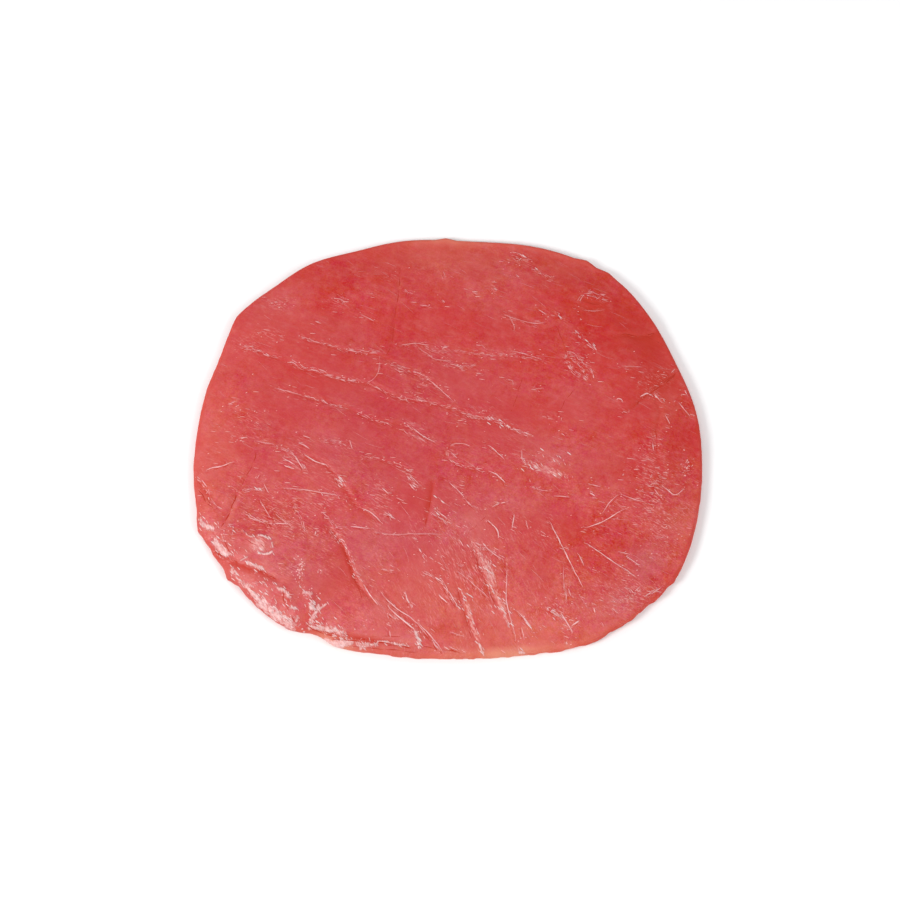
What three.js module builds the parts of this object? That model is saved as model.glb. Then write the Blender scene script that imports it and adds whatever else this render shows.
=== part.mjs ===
// A raw veal cutlet: one thin, uncoated slice of pale red meat that lies flat.
// Its outline is a soft superellipse with straight trims and blunt corners. The rim is thick and
// rolls over softly at the front left, and thins out to a firm edge elsewhere. The upper face is
// creased along the sheets of connective tissue that run through the meat, and the underside is
// flat, as wet meat settles.
import * as THREE from "three";

// Driving sizes in millimetres. Bearings are degrees, counterclockwise from +X.
const LENGTH = 150.2;
const BREADTH = 130.8;
const THICKNESS = 6;

// The two halves of the outline are superellipses of unlike squareness
const BACK_SQUARENESS = 2.3;
const FRONT_SQUARENESS = 2.55;

// Where the knife trimmed the outline flat (negative) or left it full, as smooth swells
const TRIMS = [
  { bearing: 22, spread: 14, rise: -3.2 },
  { bearing: 36, spread: 8, rise: -0.8 },
  { bearing: 82, spread: 14, rise: -0.9 },
  { bearing: 115, spread: 10, rise: -1.3 },
  { bearing: 136, spread: 8, rise: -1.3 },
  { bearing: 159, spread: 9, rise: -2.3 },
  { bearing: 172, spread: 10, rise: -1.3 },
  { bearing: 216, spread: 12, rise: -1.6 },
  { bearing: 237, spread: 4, rise: -2.1 },
  { bearing: 252, spread: 7, rise: -0.5 },
  { bearing: 303, spread: 8, rise: 1.1 },
  { bearing: 330, spread: 7, rise: 1.0 },
];

// Blunt corners and small scallops of the cut edge, as tents
const CORNERS = [
  { bearing: 48, spread: 3, rise: 0.5 },
  { bearing: 54, spread: 3, rise: 0.8 },
  { bearing: 90.5, spread: 3, rise: 0.7 },
  { bearing: 148, spread: 4, rise: 0.5 },
  { bearing: 200.5, spread: 5, rise: 1.3 },
  { bearing: 207, spread: 2.5, rise: 0.4 },
  { bearing: 213.4, spread: 2.5, rise: 1.0 },
  { bearing: 305, spread: 3, rise: 0.3 },
  { bearing: 314.5, spread: 4, rise: 0.6 },
  { bearing: 322.5, spread: 2.5, rise: 0.7 },
  { bearing: 327, spread: 1.2, rise: 0.6 },
];

// The rim in section: a quarter ellipse down to the waist, then a short tuck to the floor
const ROLL = { firm: 1, soft: 7.5, softBearing: 222, softSpread: 55 };
const WAIST = 0.36;
const TUCK = 1.3;
// The share of its thickness that the slice loses towards its firm rim, and how far in that starts
const THINNING = { share: 0.45, reach: 9 };

// Broad unevenness of the slice: centre, reach along X and Y, and height
const SWELLS = [
  { x: -51, y: -42, reachX: 17, reachY: 13, rise: 0.9 },
  { x: -66, y: -18, reachX: 8, reachY: 10, rise: 0.5 },
  { x: -44, y: 6, reachX: 18, reachY: 12, rise: 0.3 },
  { x: 4, y: -24, reachX: 14, reachY: 10, rise: 0.4 },
  { x: -8, y: -50, reachX: 15, reachY: 9, rise: 0.4 },
  { x: 50, y: -8, reachX: 16, reachY: 14, rise: 0.3 },
  { x: 43, y: 42, reachX: 8, reachY: 4, rise: -0.5 },
  { x: 62, y: 8, reachX: 6, reachY: 9, rise: -0.4 },
  { x: -4, y: 62, reachX: 30, reachY: 10, rise: -1.5 },
  { x: 40, y: 56, reachX: 16, reachY: 8, rise: -0.9 },
  { x: 24, y: -62, reachX: 24, reachY: 7, rise: -0.9 },
];

// Long, low waves left by the pull of the muscle fibres
const WAVES = [
  { length: 31, bearing: 62, height: 0.14, phase: 0.4 },
  { length: 19, bearing: 75, height: 0.1, phase: 2.1 },
  { length: 23, bearing: 12, height: 0.08, phase: 4.0 },
];

// Creases follow hand-placed paths on the upper face. depth is negative for a ridge; lip is how
// far the meat on the left of the path stands up, and it dies away over reach.
const CREASES = [
  { depth: 0.2, width: 1.2, lip: 0.2, reach: 6, path: [[-62, 29], [-54, 26.5], [-43, 22], [-33, 19],
    [-22, 16.5], [-14, 12.5], [-3, 10.6], [8, 6.8], [19, 3.2], [27, 0]] },
  { depth: 0.18, width: 1.2, lip: 0.15, reach: 5, path: [[-44, 31.7], [-31, 27.6], [-20, 25.5], [-12, 21.3],
    [-4, 16.8], [2, 11]] },
  { depth: 0.2, width: 1.2, lip: 0.15, reach: 5, path: [[-52, 16], [-40, 12.6], [-31, 9.8], [-22, 5.8],
    [-13, 4], [-5, -0.5]] },
  { depth: 0.16, width: 1.2, lip: 0.15, reach: 4, path: [[7, -2.8], [3, -1.5], [-0.3, -3.5], [0, -5.8],
    [4, -8.5], [11, -10], [18, -14]] },
  { depth: 0.25, width: 1.3, lip: 0.3, reach: 6, path: [[-42.5, -4.8], [-36, -8], [-32, -13], [-29, -17],
    [-26, -21], [-19, -26]] },
  { depth: 0.18, width: 1.2, lip: 0.15, reach: 5, path: [[-25, -5], [-15, -8], [-10.5, -11], [-7.5, -15.5]] },
  { depth: 0.16, width: 1.2, lip: 0.15, reach: 5, path: [[28.5, -22], [32, -30], [39, -46]] },
  { depth: 0.16, width: 1.2, lip: 0.15, reach: 5, path: [[38.5, -30], [47, -36], [56, -43]] },
  { depth: 0.15, width: 1.2, lip: 0.15, reach: 4, path: [[38, -27.5], [45, -25.5], [52.5, -21]] },
  { depth: 0.22, width: 1.3, lip: 0.1, reach: 5, path: [[57, 12.5], [60, 14], [62.5, 9], [61, 0], [62, -12]] },
  { depth: 0.15, width: 1.2, lip: 0.15, reach: 5, path: [[13, 43], [19, 39.5], [25, 36.5], [30, 33]] },
  { depth: 0.15, width: 1.2, lip: 0, reach: 1, path: [[-14.4, 55.4], [-14.8, 45.7], [-15.8, 38.2],
    [-16.7, 29.7], [-18.6, 25.5]] },
  { depth: 0.34, width: 1.2, lip: 0.3, reach: 4, path: [[68.8, 22.4], [64.7, 18.2], [58.7, 13.5],
    [54.7, 9.8], [51.2, 7.2]] },
  { depth: 0.32, width: 1.2, lip: 0.25, reach: 4, path: [[49.2, 31.9], [53.2, 32.9], [57.2, 32.4],
    [62.2, 34], [65, 34.8]] },
  { depth: 0.35, width: 1.3, lip: 0.3, reach: 5, path: [[-75, -10], [-70.5, -16], [-65.5, -21.7]] },
  { depth: 0.22, width: 1.3, lip: 0.1, reach: 5, path: [[-55.5, -4], [-58, -10], [-60.5, -15.5]] },
  { depth: 0.45, width: 1.4, lip: 0.2, reach: 6, path: [[-60.5, -14], [-62, -19], [-65.5, -27]] },
  { depth: 0.6, width: 1.5, lip: 0.4, reach: 7, path: [[-70, -31], [-66, -35], [-60, -38.3], [-53, -41],
    [-48, -44]] },
  { depth: 0.55, width: 1.5, lip: 0.4, reach: 6, path: [[-43, -54], [-37, -58], [-28, -59.6], [-18, -60.8],
    [-8, -63]] },
  { depth: 0.45, width: 1.3, lip: 0.6, reach: 10, path: [[-35, -26], [-31, -31.5], [-28.5, -37], [-26, -44],
    [-20.5, -50.5]] },
  { depth: 0.35, width: 1.3, lip: 0.4, reach: 8, path: [[-4, -12.5], [-5, -19], [-6.5, -27]] },
  { depth: 0.3, width: 1.3, lip: 0.35, reach: 4, path: [[6.5, -30], [9, -38], [11.5, -45], [15, -52]] },
  { depth: 0.25, width: 1.3, lip: 0.3, reach: 3, path: [[2.5, -43], [5, -53], [9, -63]] },
  { depth: 0.16, width: 1.2, lip: 0.15, reach: 5, path: [[-20, -44], [-13, -53], [-6.5, -58.5], [0, -64.5]] },
  { depth: 0.25, width: 1.3, lip: 0.1, reach: 3, path: [[39, 43.5], [42, 43.3], [45, 42.8]] },
  { depth: -0.45, width: 1.4, lip: 0, reach: 1, path: [[-46, -43], [-45.5, -50], [-41.5, -57]] },
  { depth: -0.5, width: 1.8, lip: 0, reach: 1, path: [[-59, -29], [-55, -31], [-51.5, -32]] },
  { depth: -0.3, width: 1.4, lip: 0, reach: 1, path: [[-53, -42.5], [-49.5, -45], [-46, -47]] },
  { depth: -0.4, width: 1.4, lip: 0, reach: 1, path: [[-42, -46], [-39.5, -47.5], [-38.6, -53]] },
];

// How finely the surface is stepped
const RINGS = 30;
const SECTORS = 8;
const ROLL_STEPS = 4;
const TUCK_STEPS = 1;
const PATH_STEPS = 28;

function turnBetween(bearing, other) {
  return THREE.MathUtils.euclideanModulo(bearing - other + 180, 360) - 180;
}

function bell(value) {
  return Math.exp(-value * value);
}

function tent(value) {
  return Math.max(0, 1 - Math.abs(value));
}

function edgeRadius(bearing) {
  const angle = THREE.MathUtils.degToRad(bearing);
  const squareness = Math.sin(angle) > 0 ? BACK_SQUARENESS : FRONT_SQUARENESS;
  const across = Math.abs(Math.cos(angle) * 2 / LENGTH) ** squareness;
  const along = Math.abs(Math.sin(angle) * 2 / BREADTH) ** squareness;
  let radius = (across + along) ** (-1 / squareness);
  for (const trim of TRIMS) radius += trim.rise * bell(turnBetween(bearing, trim.bearing) / trim.spread);
  for (const corner of CORNERS) radius += corner.rise * tent(turnBetween(bearing, corner.bearing) / corner.spread);
  return radius;
}

// 1 where the rim is thick and soft, 0 where it is thin and firm
function softness(bearing) {
  return bell(turnBetween(bearing, ROLL.softBearing) / ROLL.softSpread);
}

function rollWidth(bearing) {
  return THREE.MathUtils.lerp(ROLL.firm, ROLL.soft, softness(bearing));
}

// The nearest place on a path: signed distance, positive on its left, and the share of its length
function alongPath(points, x, y) {
  let nearest = { distance: Infinity, share: 0 };
  for (let i = 0; i < points.length - 1; i++) {
    const from = points[i];
    const runX = points[i + 1].x - from.x;
    const runY = points[i + 1].y - from.y;
    const step = ((x - from.x) * runX + (y - from.y) * runY) / (runX * runX + runY * runY);
    const t = THREE.MathUtils.clamp(step, 0, 1);
    const gapX = x - from.x - t * runX;
    const gapY = y - from.y - t * runY;
    const distance = Math.hypot(gapX, gapY);
    if (distance < Math.abs(nearest.distance)) {
      const side = Math.sign(runX * gapY - runY * gapX) || 1;
      nearest = { distance: distance * side, share: (i + t) / (points.length - 1) };
    }
  }
  return nearest;
}

const creaseLines = CREASES.map((crease) => {
  const corners = crease.path.map(([x, y]) => new THREE.Vector2(x, y));
  return { ...crease, points: new THREE.SplineCurve(corners).getSpacedPoints(PATH_STEPS) };
});

function creaseRise(crease, x, y) {
  const { distance, share } = alongPath(crease.points, x, y);
  const fade = Math.sqrt(Math.max(0, Math.sin(Math.PI * share)));
  const groove = bell(distance / crease.width);
  const raised = distance > 0 ? crease.lip * (1 - groove) * Math.exp(-distance / crease.reach) : 0;
  return fade * (raised - crease.depth * groove);
}

function topHeight(x, y) {
  let height = THICKNESS;
  for (const swell of SWELLS) {
    height += swell.rise * bell(Math.hypot((x - swell.x) / swell.reachX, (y - swell.y) / swell.reachY));
  }
  for (const wave of WAVES) {
    const angle = THREE.MathUtils.degToRad(wave.bearing);
    const travel = (x * Math.cos(angle) + y * Math.sin(angle)) / wave.length;
    height += wave.height * Math.sin(2 * Math.PI * travel + wave.phase);
  }
  for (const crease of creaseLines) height += creaseRise(crease, x, y);
  const bearing = THREE.MathUtils.radToDeg(Math.atan2(y, x));
  const inset = edgeRadius(bearing) - Math.hypot(x, y);
  return height * (1 - THINNING.share * (1 - softness(bearing)) * bell(inset / THINNING.reach));
}

// One ring of points round the slice. place gives a point's radius and height for its bearing.
function makeRing(count, place) {
  const ring = [];
  for (let i = 0; i < count; i++) {
    const bearing = 360 * i / count;
    const { radius, height } = place(bearing);
    const angle = THREE.MathUtils.degToRad(bearing);
    const x = radius * Math.cos(angle);
    const y = radius * Math.sin(angle);
    ring.push(new THREE.Vector3(x, y, height(x, y)));
  }
  return ring;
}

function faceRings() {
  const rings = [];
  for (let k = 0; k <= RINGS; k++) {
    const share = k / RINGS;
    rings.push(makeRing(Math.max(1, SECTORS * k), (bearing) => ({
      radius: share * (edgeRadius(bearing) - rollWidth(bearing)),
      height: topHeight,
    })));
  }
  return rings;
}

function rimRings() {
  const rings = [];
  const count = SECTORS * RINGS;
  for (let step = 1; step <= ROLL_STEPS; step++) {
    const turn = Math.PI / 2 * (1 - step / ROLL_STEPS);
    rings.push(makeRing(count, (bearing) => ({
      radius: edgeRadius(bearing) - rollWidth(bearing) * (1 - Math.cos(turn)),
      height: (x, y) => topHeight(x, y) * (WAIST + (1 - WAIST) * Math.sin(turn)),
    })));
  }
  for (let step = 1; step <= TUCK_STEPS; step++) {
    const turn = Math.PI / 2 * step / TUCK_STEPS;
    rings.push(makeRing(count, (bearing) => ({
      radius: edgeRadius(bearing) - TUCK * (1 - Math.cos(turn)),
      height: (x, y) => topHeight(x, y) * WAIST * (1 - Math.sin(turn)),
    })));
  }
  rings.push([new THREE.Vector3(0, 0, 0)]);
  return rings;
}

// Fills the band between two rings with triangles, stepping along whichever ring is behind
function fillBand(inner, outer) {
  const corners = [];
  let i = 0;
  let j = 0;
  while (i < inner.length || j < outer.length) {
    const here = inner[i % inner.length];
    const there = outer[j % outer.length];
    const innerIsAhead = (i + 1) * outer.length > (j + 1) * inner.length;
    let next;
    if (i === inner.length || (j < outer.length && innerIsAhead)) {
      j += 1;
      next = outer[j % outer.length];
    } else {
      i += 1;
      next = inner[i % inner.length];
    }
    if (next !== here && next !== there) corners.push(here, there, next);
  }
  return corners;
}

function makeCutlet() {
  const rings = [...faceRings(), ...rimRings()];
  const corners = [];
  for (let k = 1; k < rings.length; k++) corners.push(...fillBand(rings[k - 1], rings[k]));
  const geometry = new THREE.BufferGeometry().setFromPoints(corners);
  geometry.computeBoundingBox();
  const centre = geometry.boundingBox.getCenter(new THREE.Vector3());
  geometry.translate(-centre.x, -centre.y, 0);
  geometry.computeVertexNormals();
  const meat = new THREE.MeshStandardMaterial({ color: 0xd15552, roughness: 0.35, metalness: 0 });
  const mesh = new THREE.Mesh(geometry, meat);
  mesh.name = "veal_cutlet";
  return mesh;
}

const cutlet = new THREE.Group();
cutlet.add(makeCutlet());

export default cutlet;
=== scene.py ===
import math

import bpy
import numpy as np
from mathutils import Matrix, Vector


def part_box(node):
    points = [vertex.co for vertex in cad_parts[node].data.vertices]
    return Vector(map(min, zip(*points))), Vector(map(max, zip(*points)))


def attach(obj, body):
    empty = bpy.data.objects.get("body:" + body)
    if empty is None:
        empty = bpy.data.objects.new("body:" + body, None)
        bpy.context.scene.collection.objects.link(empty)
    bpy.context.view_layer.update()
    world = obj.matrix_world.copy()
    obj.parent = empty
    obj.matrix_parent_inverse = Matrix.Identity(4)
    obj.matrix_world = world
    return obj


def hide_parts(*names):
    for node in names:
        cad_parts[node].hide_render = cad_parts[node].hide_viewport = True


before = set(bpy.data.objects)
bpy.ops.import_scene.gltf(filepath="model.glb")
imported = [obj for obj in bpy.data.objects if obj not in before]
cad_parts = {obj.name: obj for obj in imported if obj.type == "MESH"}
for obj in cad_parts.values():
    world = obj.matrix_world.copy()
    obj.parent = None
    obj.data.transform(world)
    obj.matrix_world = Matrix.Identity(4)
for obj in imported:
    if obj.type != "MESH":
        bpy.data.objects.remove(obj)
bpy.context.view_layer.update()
# Lengths are in millimetres unless a comment says metres, and MM turns them into metres
MM = 0.001


# The table and the light.
# The table is a sheet of white laminate, pressed matt. Soft boxes light it from three sides: the wet rim
# of the meat mirrors the left one, and the one at the back is large and weak, so it shows no glint.
def linear_colour(hex_code):
    """The linear RGBA of an sRGB hex code such as "D15552"."""
    shares = [int(hex_code[i:i + 2], 16) / 255 for i in (0, 2, 4)]
    return (*(s / 12.92 if s <= 0.04045 else ((s + 0.055) / 1.055) ** 2.4 for s in shares), 1)


def add_node(tree, kind, settings=None, inputs=None):
    """A new node. An input, by name or place, is a value, a socket, or a node whose first output it takes."""
    node = tree.nodes.new(kind)
    for name, value in (settings or {}).items():
        setattr(node, name, value)
    for key, value in (inputs or {}).items():
        shown = [socket for socket in node.inputs if socket.enabled]
        socket = shown[key] if isinstance(key, int) else next(s for s in shown if s.name == key)
        if isinstance(value, bpy.types.Node):
            value = next(output for output in value.outputs if output.enabled)
        if isinstance(value, bpy.types.NodeSocket):
            tree.links.new(value, socket)
        else:
            socket.default_value = value
    return node


def new_material(name):
    """An empty node material and its tree."""
    material = bpy.data.materials.new(name)
    material.use_nodes = True
    material.node_tree.nodes.clear()
    return material, material.node_tree


def new_piece(name, points, faces, edges=()):
    """A mesh object at the origin, from points in millimetres."""
    mesh = bpy.data.meshes.new(name)
    mesh.from_pydata(np.asarray(points) * MM, edges, faces)
    piece = bpy.data.objects.new(name, mesh)
    bpy.context.collection.objects.link(piece)
    return piece


# White laminate: pressed matt, so it has no gloss and only the faintest mottling
def white_laminate():
    material, tree = new_material("white_laminate")
    place = add_node(tree, "ShaderNodeTexCoord").outputs["Object"]
    mottle = add_node(tree, "ShaderNodeTexNoise", inputs={"Vector": place, "Scale": 40.0})
    tone = add_node(tree, "ShaderNodeMix", {"data_type": "RGBA"}, {
        "Factor": mottle, "A": linear_colour("F7F7F6"), "B": linear_colour("FAFAF9")})
    surface = add_node(tree, "ShaderNodeBsdfPrincipled", inputs={
        "Base Color": tone, "Roughness": 0.9, "Specular IOR Level": 0.1})
    add_node(tree, "ShaderNodeOutputMaterial", inputs={"Surface": surface})
    return material


TABLE_HALF = 2000
# The table lies a hair under the meat, so that the two don't share a plane
TABLE_LEVEL = -0.02
table = new_piece("table", [(across * TABLE_HALF, along * TABLE_HALF, TABLE_LEVEL)
                            for across, along in ((-1, -1), (1, -1), (1, 1), (-1, 1))], [(0, 1, 2, 3)])
table.data.materials.append(white_laminate())


def soft_box(name, towards, distance, size, watts):
    """A square area light with sides of size, hung at a distance in the direction towards, in metres."""
    light = bpy.data.lights.new(name, "AREA")
    light.shape = "SQUARE"
    light.size = size
    light.energy = watts
    lamp = bpy.data.objects.new(name, light)
    lamp.location = Vector(towards).normalized() * distance
    lamp.rotation_euler = lamp.location.to_track_quat("Z", "Y").to_euler()
    bpy.context.collection.objects.link(lamp)


soft_box("left_box", towards=(-0.68, -0.3, 0.62), distance=0.9, size=0.32, watts=4.9)
soft_box("right_box", towards=(0.62, -0.45, 0.72), distance=1.3, size=0.8, watts=7.5)
soft_box("back_box", towards=(-0.5, 0.8, 0.55), distance=2.0, size=1.2, watts=9)

studio = bpy.data.worlds.new("studio")
studio.use_nodes = True
studio.node_tree.nodes["Background"].inputs["Color"].default_value = linear_colour("F4F6FA")
studio.node_tree.nodes["Background"].inputs["Strength"].default_value = 0.5
bpy.context.scene.world = studio
bpy.context.scene.view_settings.view_transform = "Standard"

# The camera looks down on the slice from in front, 72 degrees above the table
CAMERA_LENS = 100
CAMERA_HEIGHT = math.radians(72)
CAMERA_DISTANCE = 736
CAMERA_TARGET = Vector((0.65, -2.63, 3.0))
camera = bpy.data.objects.new("camera", bpy.data.cameras.new("camera"))
camera.data.lens = CAMERA_LENS
towards_camera = Vector((0, -math.cos(CAMERA_HEIGHT), math.sin(CAMERA_HEIGHT)))
camera.location = (CAMERA_TARGET + towards_camera * CAMERA_DISTANCE) * MM
camera.rotation_euler = (math.pi / 2 - CAMERA_HEIGHT, 0, 0)
bpy.context.collection.objects.link(camera)
bpy.context.scene.camera = camera


# The slice of meat.
# Raw veal from the leg, cut across the muscle about 6 mm thick and laid flat. Its cut face is wet,
# creased along the sheets of tissue in it, and its rim rolls down softly to the table.
LENGTH = 150.2
BREADTH = 130.8
THICKNESS = 6
BACK_SQUARENESS = 2.3
FRONT_SQUARENESS = 2.55

# Bearing, spread and rise of each stretch that the knife trimmed (negative) or left full. The bearings and
# spreads were chosen, and the rises here and below fitted to the edge in the photo by least squares.
TRIMS = [(22, 14, -3.2), (36, 8, -0.8), (82, 14, -0.9), (115, 10, -1.3), (136, 8, -1.3), (159, 9, -2.3),
         (172, 10, -1.3), (216, 12, -1.6), (237, 4, -2.1), (252, 7, -0.5), (303, 8, 1.1), (330, 7, 1.0)]
# The same for blunt corners and scallops
CORNERS = [(48, 3, 0.5), (54, 3, 0.8), (90.5, 3, 0.7), (148, 4, 0.5), (200.5, 5, 1.3), (207, 2.5, 0.4),
           (213.4, 2.5, 1.0), (305, 3, 0.3), (314.5, 4, 0.6), (322.5, 2.5, 0.7), (327, 1.2, 0.6)]

# The rim in section: how far in it starts to roll down, where the thickest roll is, and its waist
ROLL_FIRM = 1
ROLL_SOFT = 7.5
ROLL_BEARING = 222
ROLL_SPREAD = 55
WAIST = 0.36
TUCK = 1.3
# How far the cut rim swells and shrinks from its smooth course, over how many degrees, and how far in
RIM_RELIEF = 0.16
RIM_RELIEF_SPACING = 1.5
RIM_RELIEF_REACH = 1.2
# The share of its thickness that the slice loses towards its firm rim, and how far in that starts
THINNING = 0.45
THINNING_REACH = 9
# The meat itself stays this much below the top of its box, so that what lies on it stays inside too
HEADROOM = 0.2
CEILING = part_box("veal_cutlet")[1][2] / MM - HEADROOM

# Centre, reach along X and Y, and rise of each broad swell
SWELLS = [(-51, -42, 17, 13, 0.9), (-66, -18, 8, 10, 0.5), (-44, 6, 18, 12, 0.3), (4, -24, 14, 10, 0.4),
          (-8, -50, 15, 9, 0.4), (50, -8, 16, 14, 0.3), (43, 42, 8, 4, -0.5), (62, 8, 6, 9, -0.4),
          (-4, 62, 30, 10, -1.5), (40, 56, 16, 8, -0.9), (24, -62, 24, 7, -0.9)]
# Length, bearing, height and phase of each long wave
WAVES = [(31, 62, 0.14, 0.4), (19, 75, 0.1, 2.1), (23, 12, 0.08, 4.0)]
# Height, size, seed, bearing and stretch of the random lumps in each kind of fine relief: the cut fibres
# where they lie flat and where they run steeply, the dimples of the face, and the wrinkles of the soft rim
FLAT_FIBRES = [(0.018, 1.1, 11, -22, 6), (0.018, 0.8, 12, -30, 4)]
STEEP_FIBRES = [(0.018, 1.1, 13, -58, 6), (0.018, 0.8, 14, -50, 4)]
DIMPLES = [(0.1, 4.2, 15, -30, 1.6)]
WRINKLES = [(0.17, 1.7, 16, -42, 2.4), (0.119, 1.2, 17, 20, 1.5)]
WRINKLE_REACH = 14

# Depth, width, lip on the left, reach of the lip, and path of each crease; a ridge has a negative depth.
# The points of these paths and of all others were read off the enlarged photo.
CREASES = [
    (0.16, 0.8, 0.2, 6, [(-62, 29), (-54, 26.5), (-43, 22), (-33, 19), (-22, 16.5), (-14, 12.5),
                         (-3, 10.6), (8, 6.8), (19, 3.2), (27, 0)]),
    (0.14, 0.8, 0.15, 5, [(-44, 31.7), (-31, 27.6), (-20, 25.5), (-12, 21.3), (-4, 16.8), (2, 11)]),
    (0.15, 0.8, 0.15, 5, [(-52, 16), (-40, 12.6), (-31, 9.8), (-22, 5.8), (-13, 4), (-5, -0.5)]),
    (0.12, 0.8, 0.15, 4, [(7, -2.8), (3, -1.5), (-0.3, -3.5), (0, -5.8), (4, -8.5), (11, -10), (18, -14)]),
    (0.2, 0.9, 0.3, 6, [(-42.5, -4.8), (-36, -8), (-32, -13), (-29, -17), (-26, -21), (-19, -26)]),
    (0.14, 0.8, 0.15, 5, [(-25, -5), (-15, -8), (-10.5, -11), (-7.5, -15.5)]),
    (0.12, 0.7, 0.15, 5, [(28.5, -22), (32, -30), (39, -46)]),
    (0.12, 0.7, 0.15, 5, [(38.5, -30), (47, -36), (56, -43)]),
    (0.1, 0.7, 0.15, 4, [(38, -27.5), (45, -25.5), (52.5, -21)]),
    (0.18, 0.9, 0.1, 5, [(57, 12.5), (60, 14), (62.5, 9), (61, 0), (62, -12)]),
    (0.1, 0.8, 0.15, 5, [(13, 43), (19, 39.5), (25, 36.5), (30, 33)]),
    (0.15, 0.6, 0, 1, [(-14.4, 55.4), (-14.8, 45.7), (-15.8, 38.2), (-16.7, 29.7), (-18.6, 25.5)]),
    (0.3, 1, 0.3, 5, [(-75, -10), (-70.5, -16), (-65.5, -21.7)]),
    (0.12, 0.6, 0.05, 4, [(-55.5, -4), (-58, -10), (-60.5, -15.5)]),
    (0.22, 0.7, 0.1, 5, [(-60.5, -14), (-62, -19), (-65.5, -27)]),
    (0.55, 1.3, 0.4, 7, [(-70, -31), (-66, -35), (-60, -38.3), (-53, -41), (-48, -44)]),
    (0.5, 1.3, 0.4, 6, [(-43, -54), (-37, -58), (-28, -59.6), (-18, -60.8), (-8, -63)]),
    (0.35, 0.6, 0.35, 12, [(-35, -26), (-31, -31.5), (-28.5, -37), (-26, -44), (-20.5, -50.5)]),
    (0.3, 0.8, 0.4, 8, [(-4, -12.5), (-5, -19), (-6.5, -27)]),
    (0.18, 0.7, 0.15, 4, [(6.5, -30), (9, -38), (11.5, -45), (15, -52)]),
    (0.15, 0.7, 0.12, 3, [(2.5, -43), (5, -53), (9, -63)]),
    (0.12, 0.8, 0.15, 5, [(-20, -44), (-13, -53), (-6.5, -58.5), (0, -64.5)]),
    (0.16, 0.7, 0.1, 3, [(39, 45.3), (41.6, 43.9), (45, 43.3), (48.3, 44.8)]),
    (0.14, 0.7, 0.1, 3, [(40, 42), (43.5, 41.2), (48, 42.8)]),
    (0.34, 0.8, 0.3, 4, [(68.8, 22.4), (64.7, 18.2), (58.7, 13.5), (54.7, 9.8), (51.2, 7.2)]),
    (0.16, 0.7, 0.1, 3, [(69.5, 20.2), (64.8, 16), (61, 13)]),
    (0.32, 0.9, 0.25, 4, [(49.2, 31.9), (53.2, 32.9), (57.2, 32.4), (62.2, 34), (65, 34.8)]),
    (-0.45, 1.2, 0, 1, [(-46, -43), (-45.5, -50), (-41.5, -57)]),
    (-0.5, 1.8, 0, 1, [(-59, -29), (-55, -31), (-51.5, -32)]),
    (-0.3, 1.3, 0, 1, [(-53, -42.5), (-49.5, -45), (-46, -47)]),
    (-0.4, 1.3, 0, 1, [(-42, -46), (-39.5, -47.5), (-38.6, -53)]),
]
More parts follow.
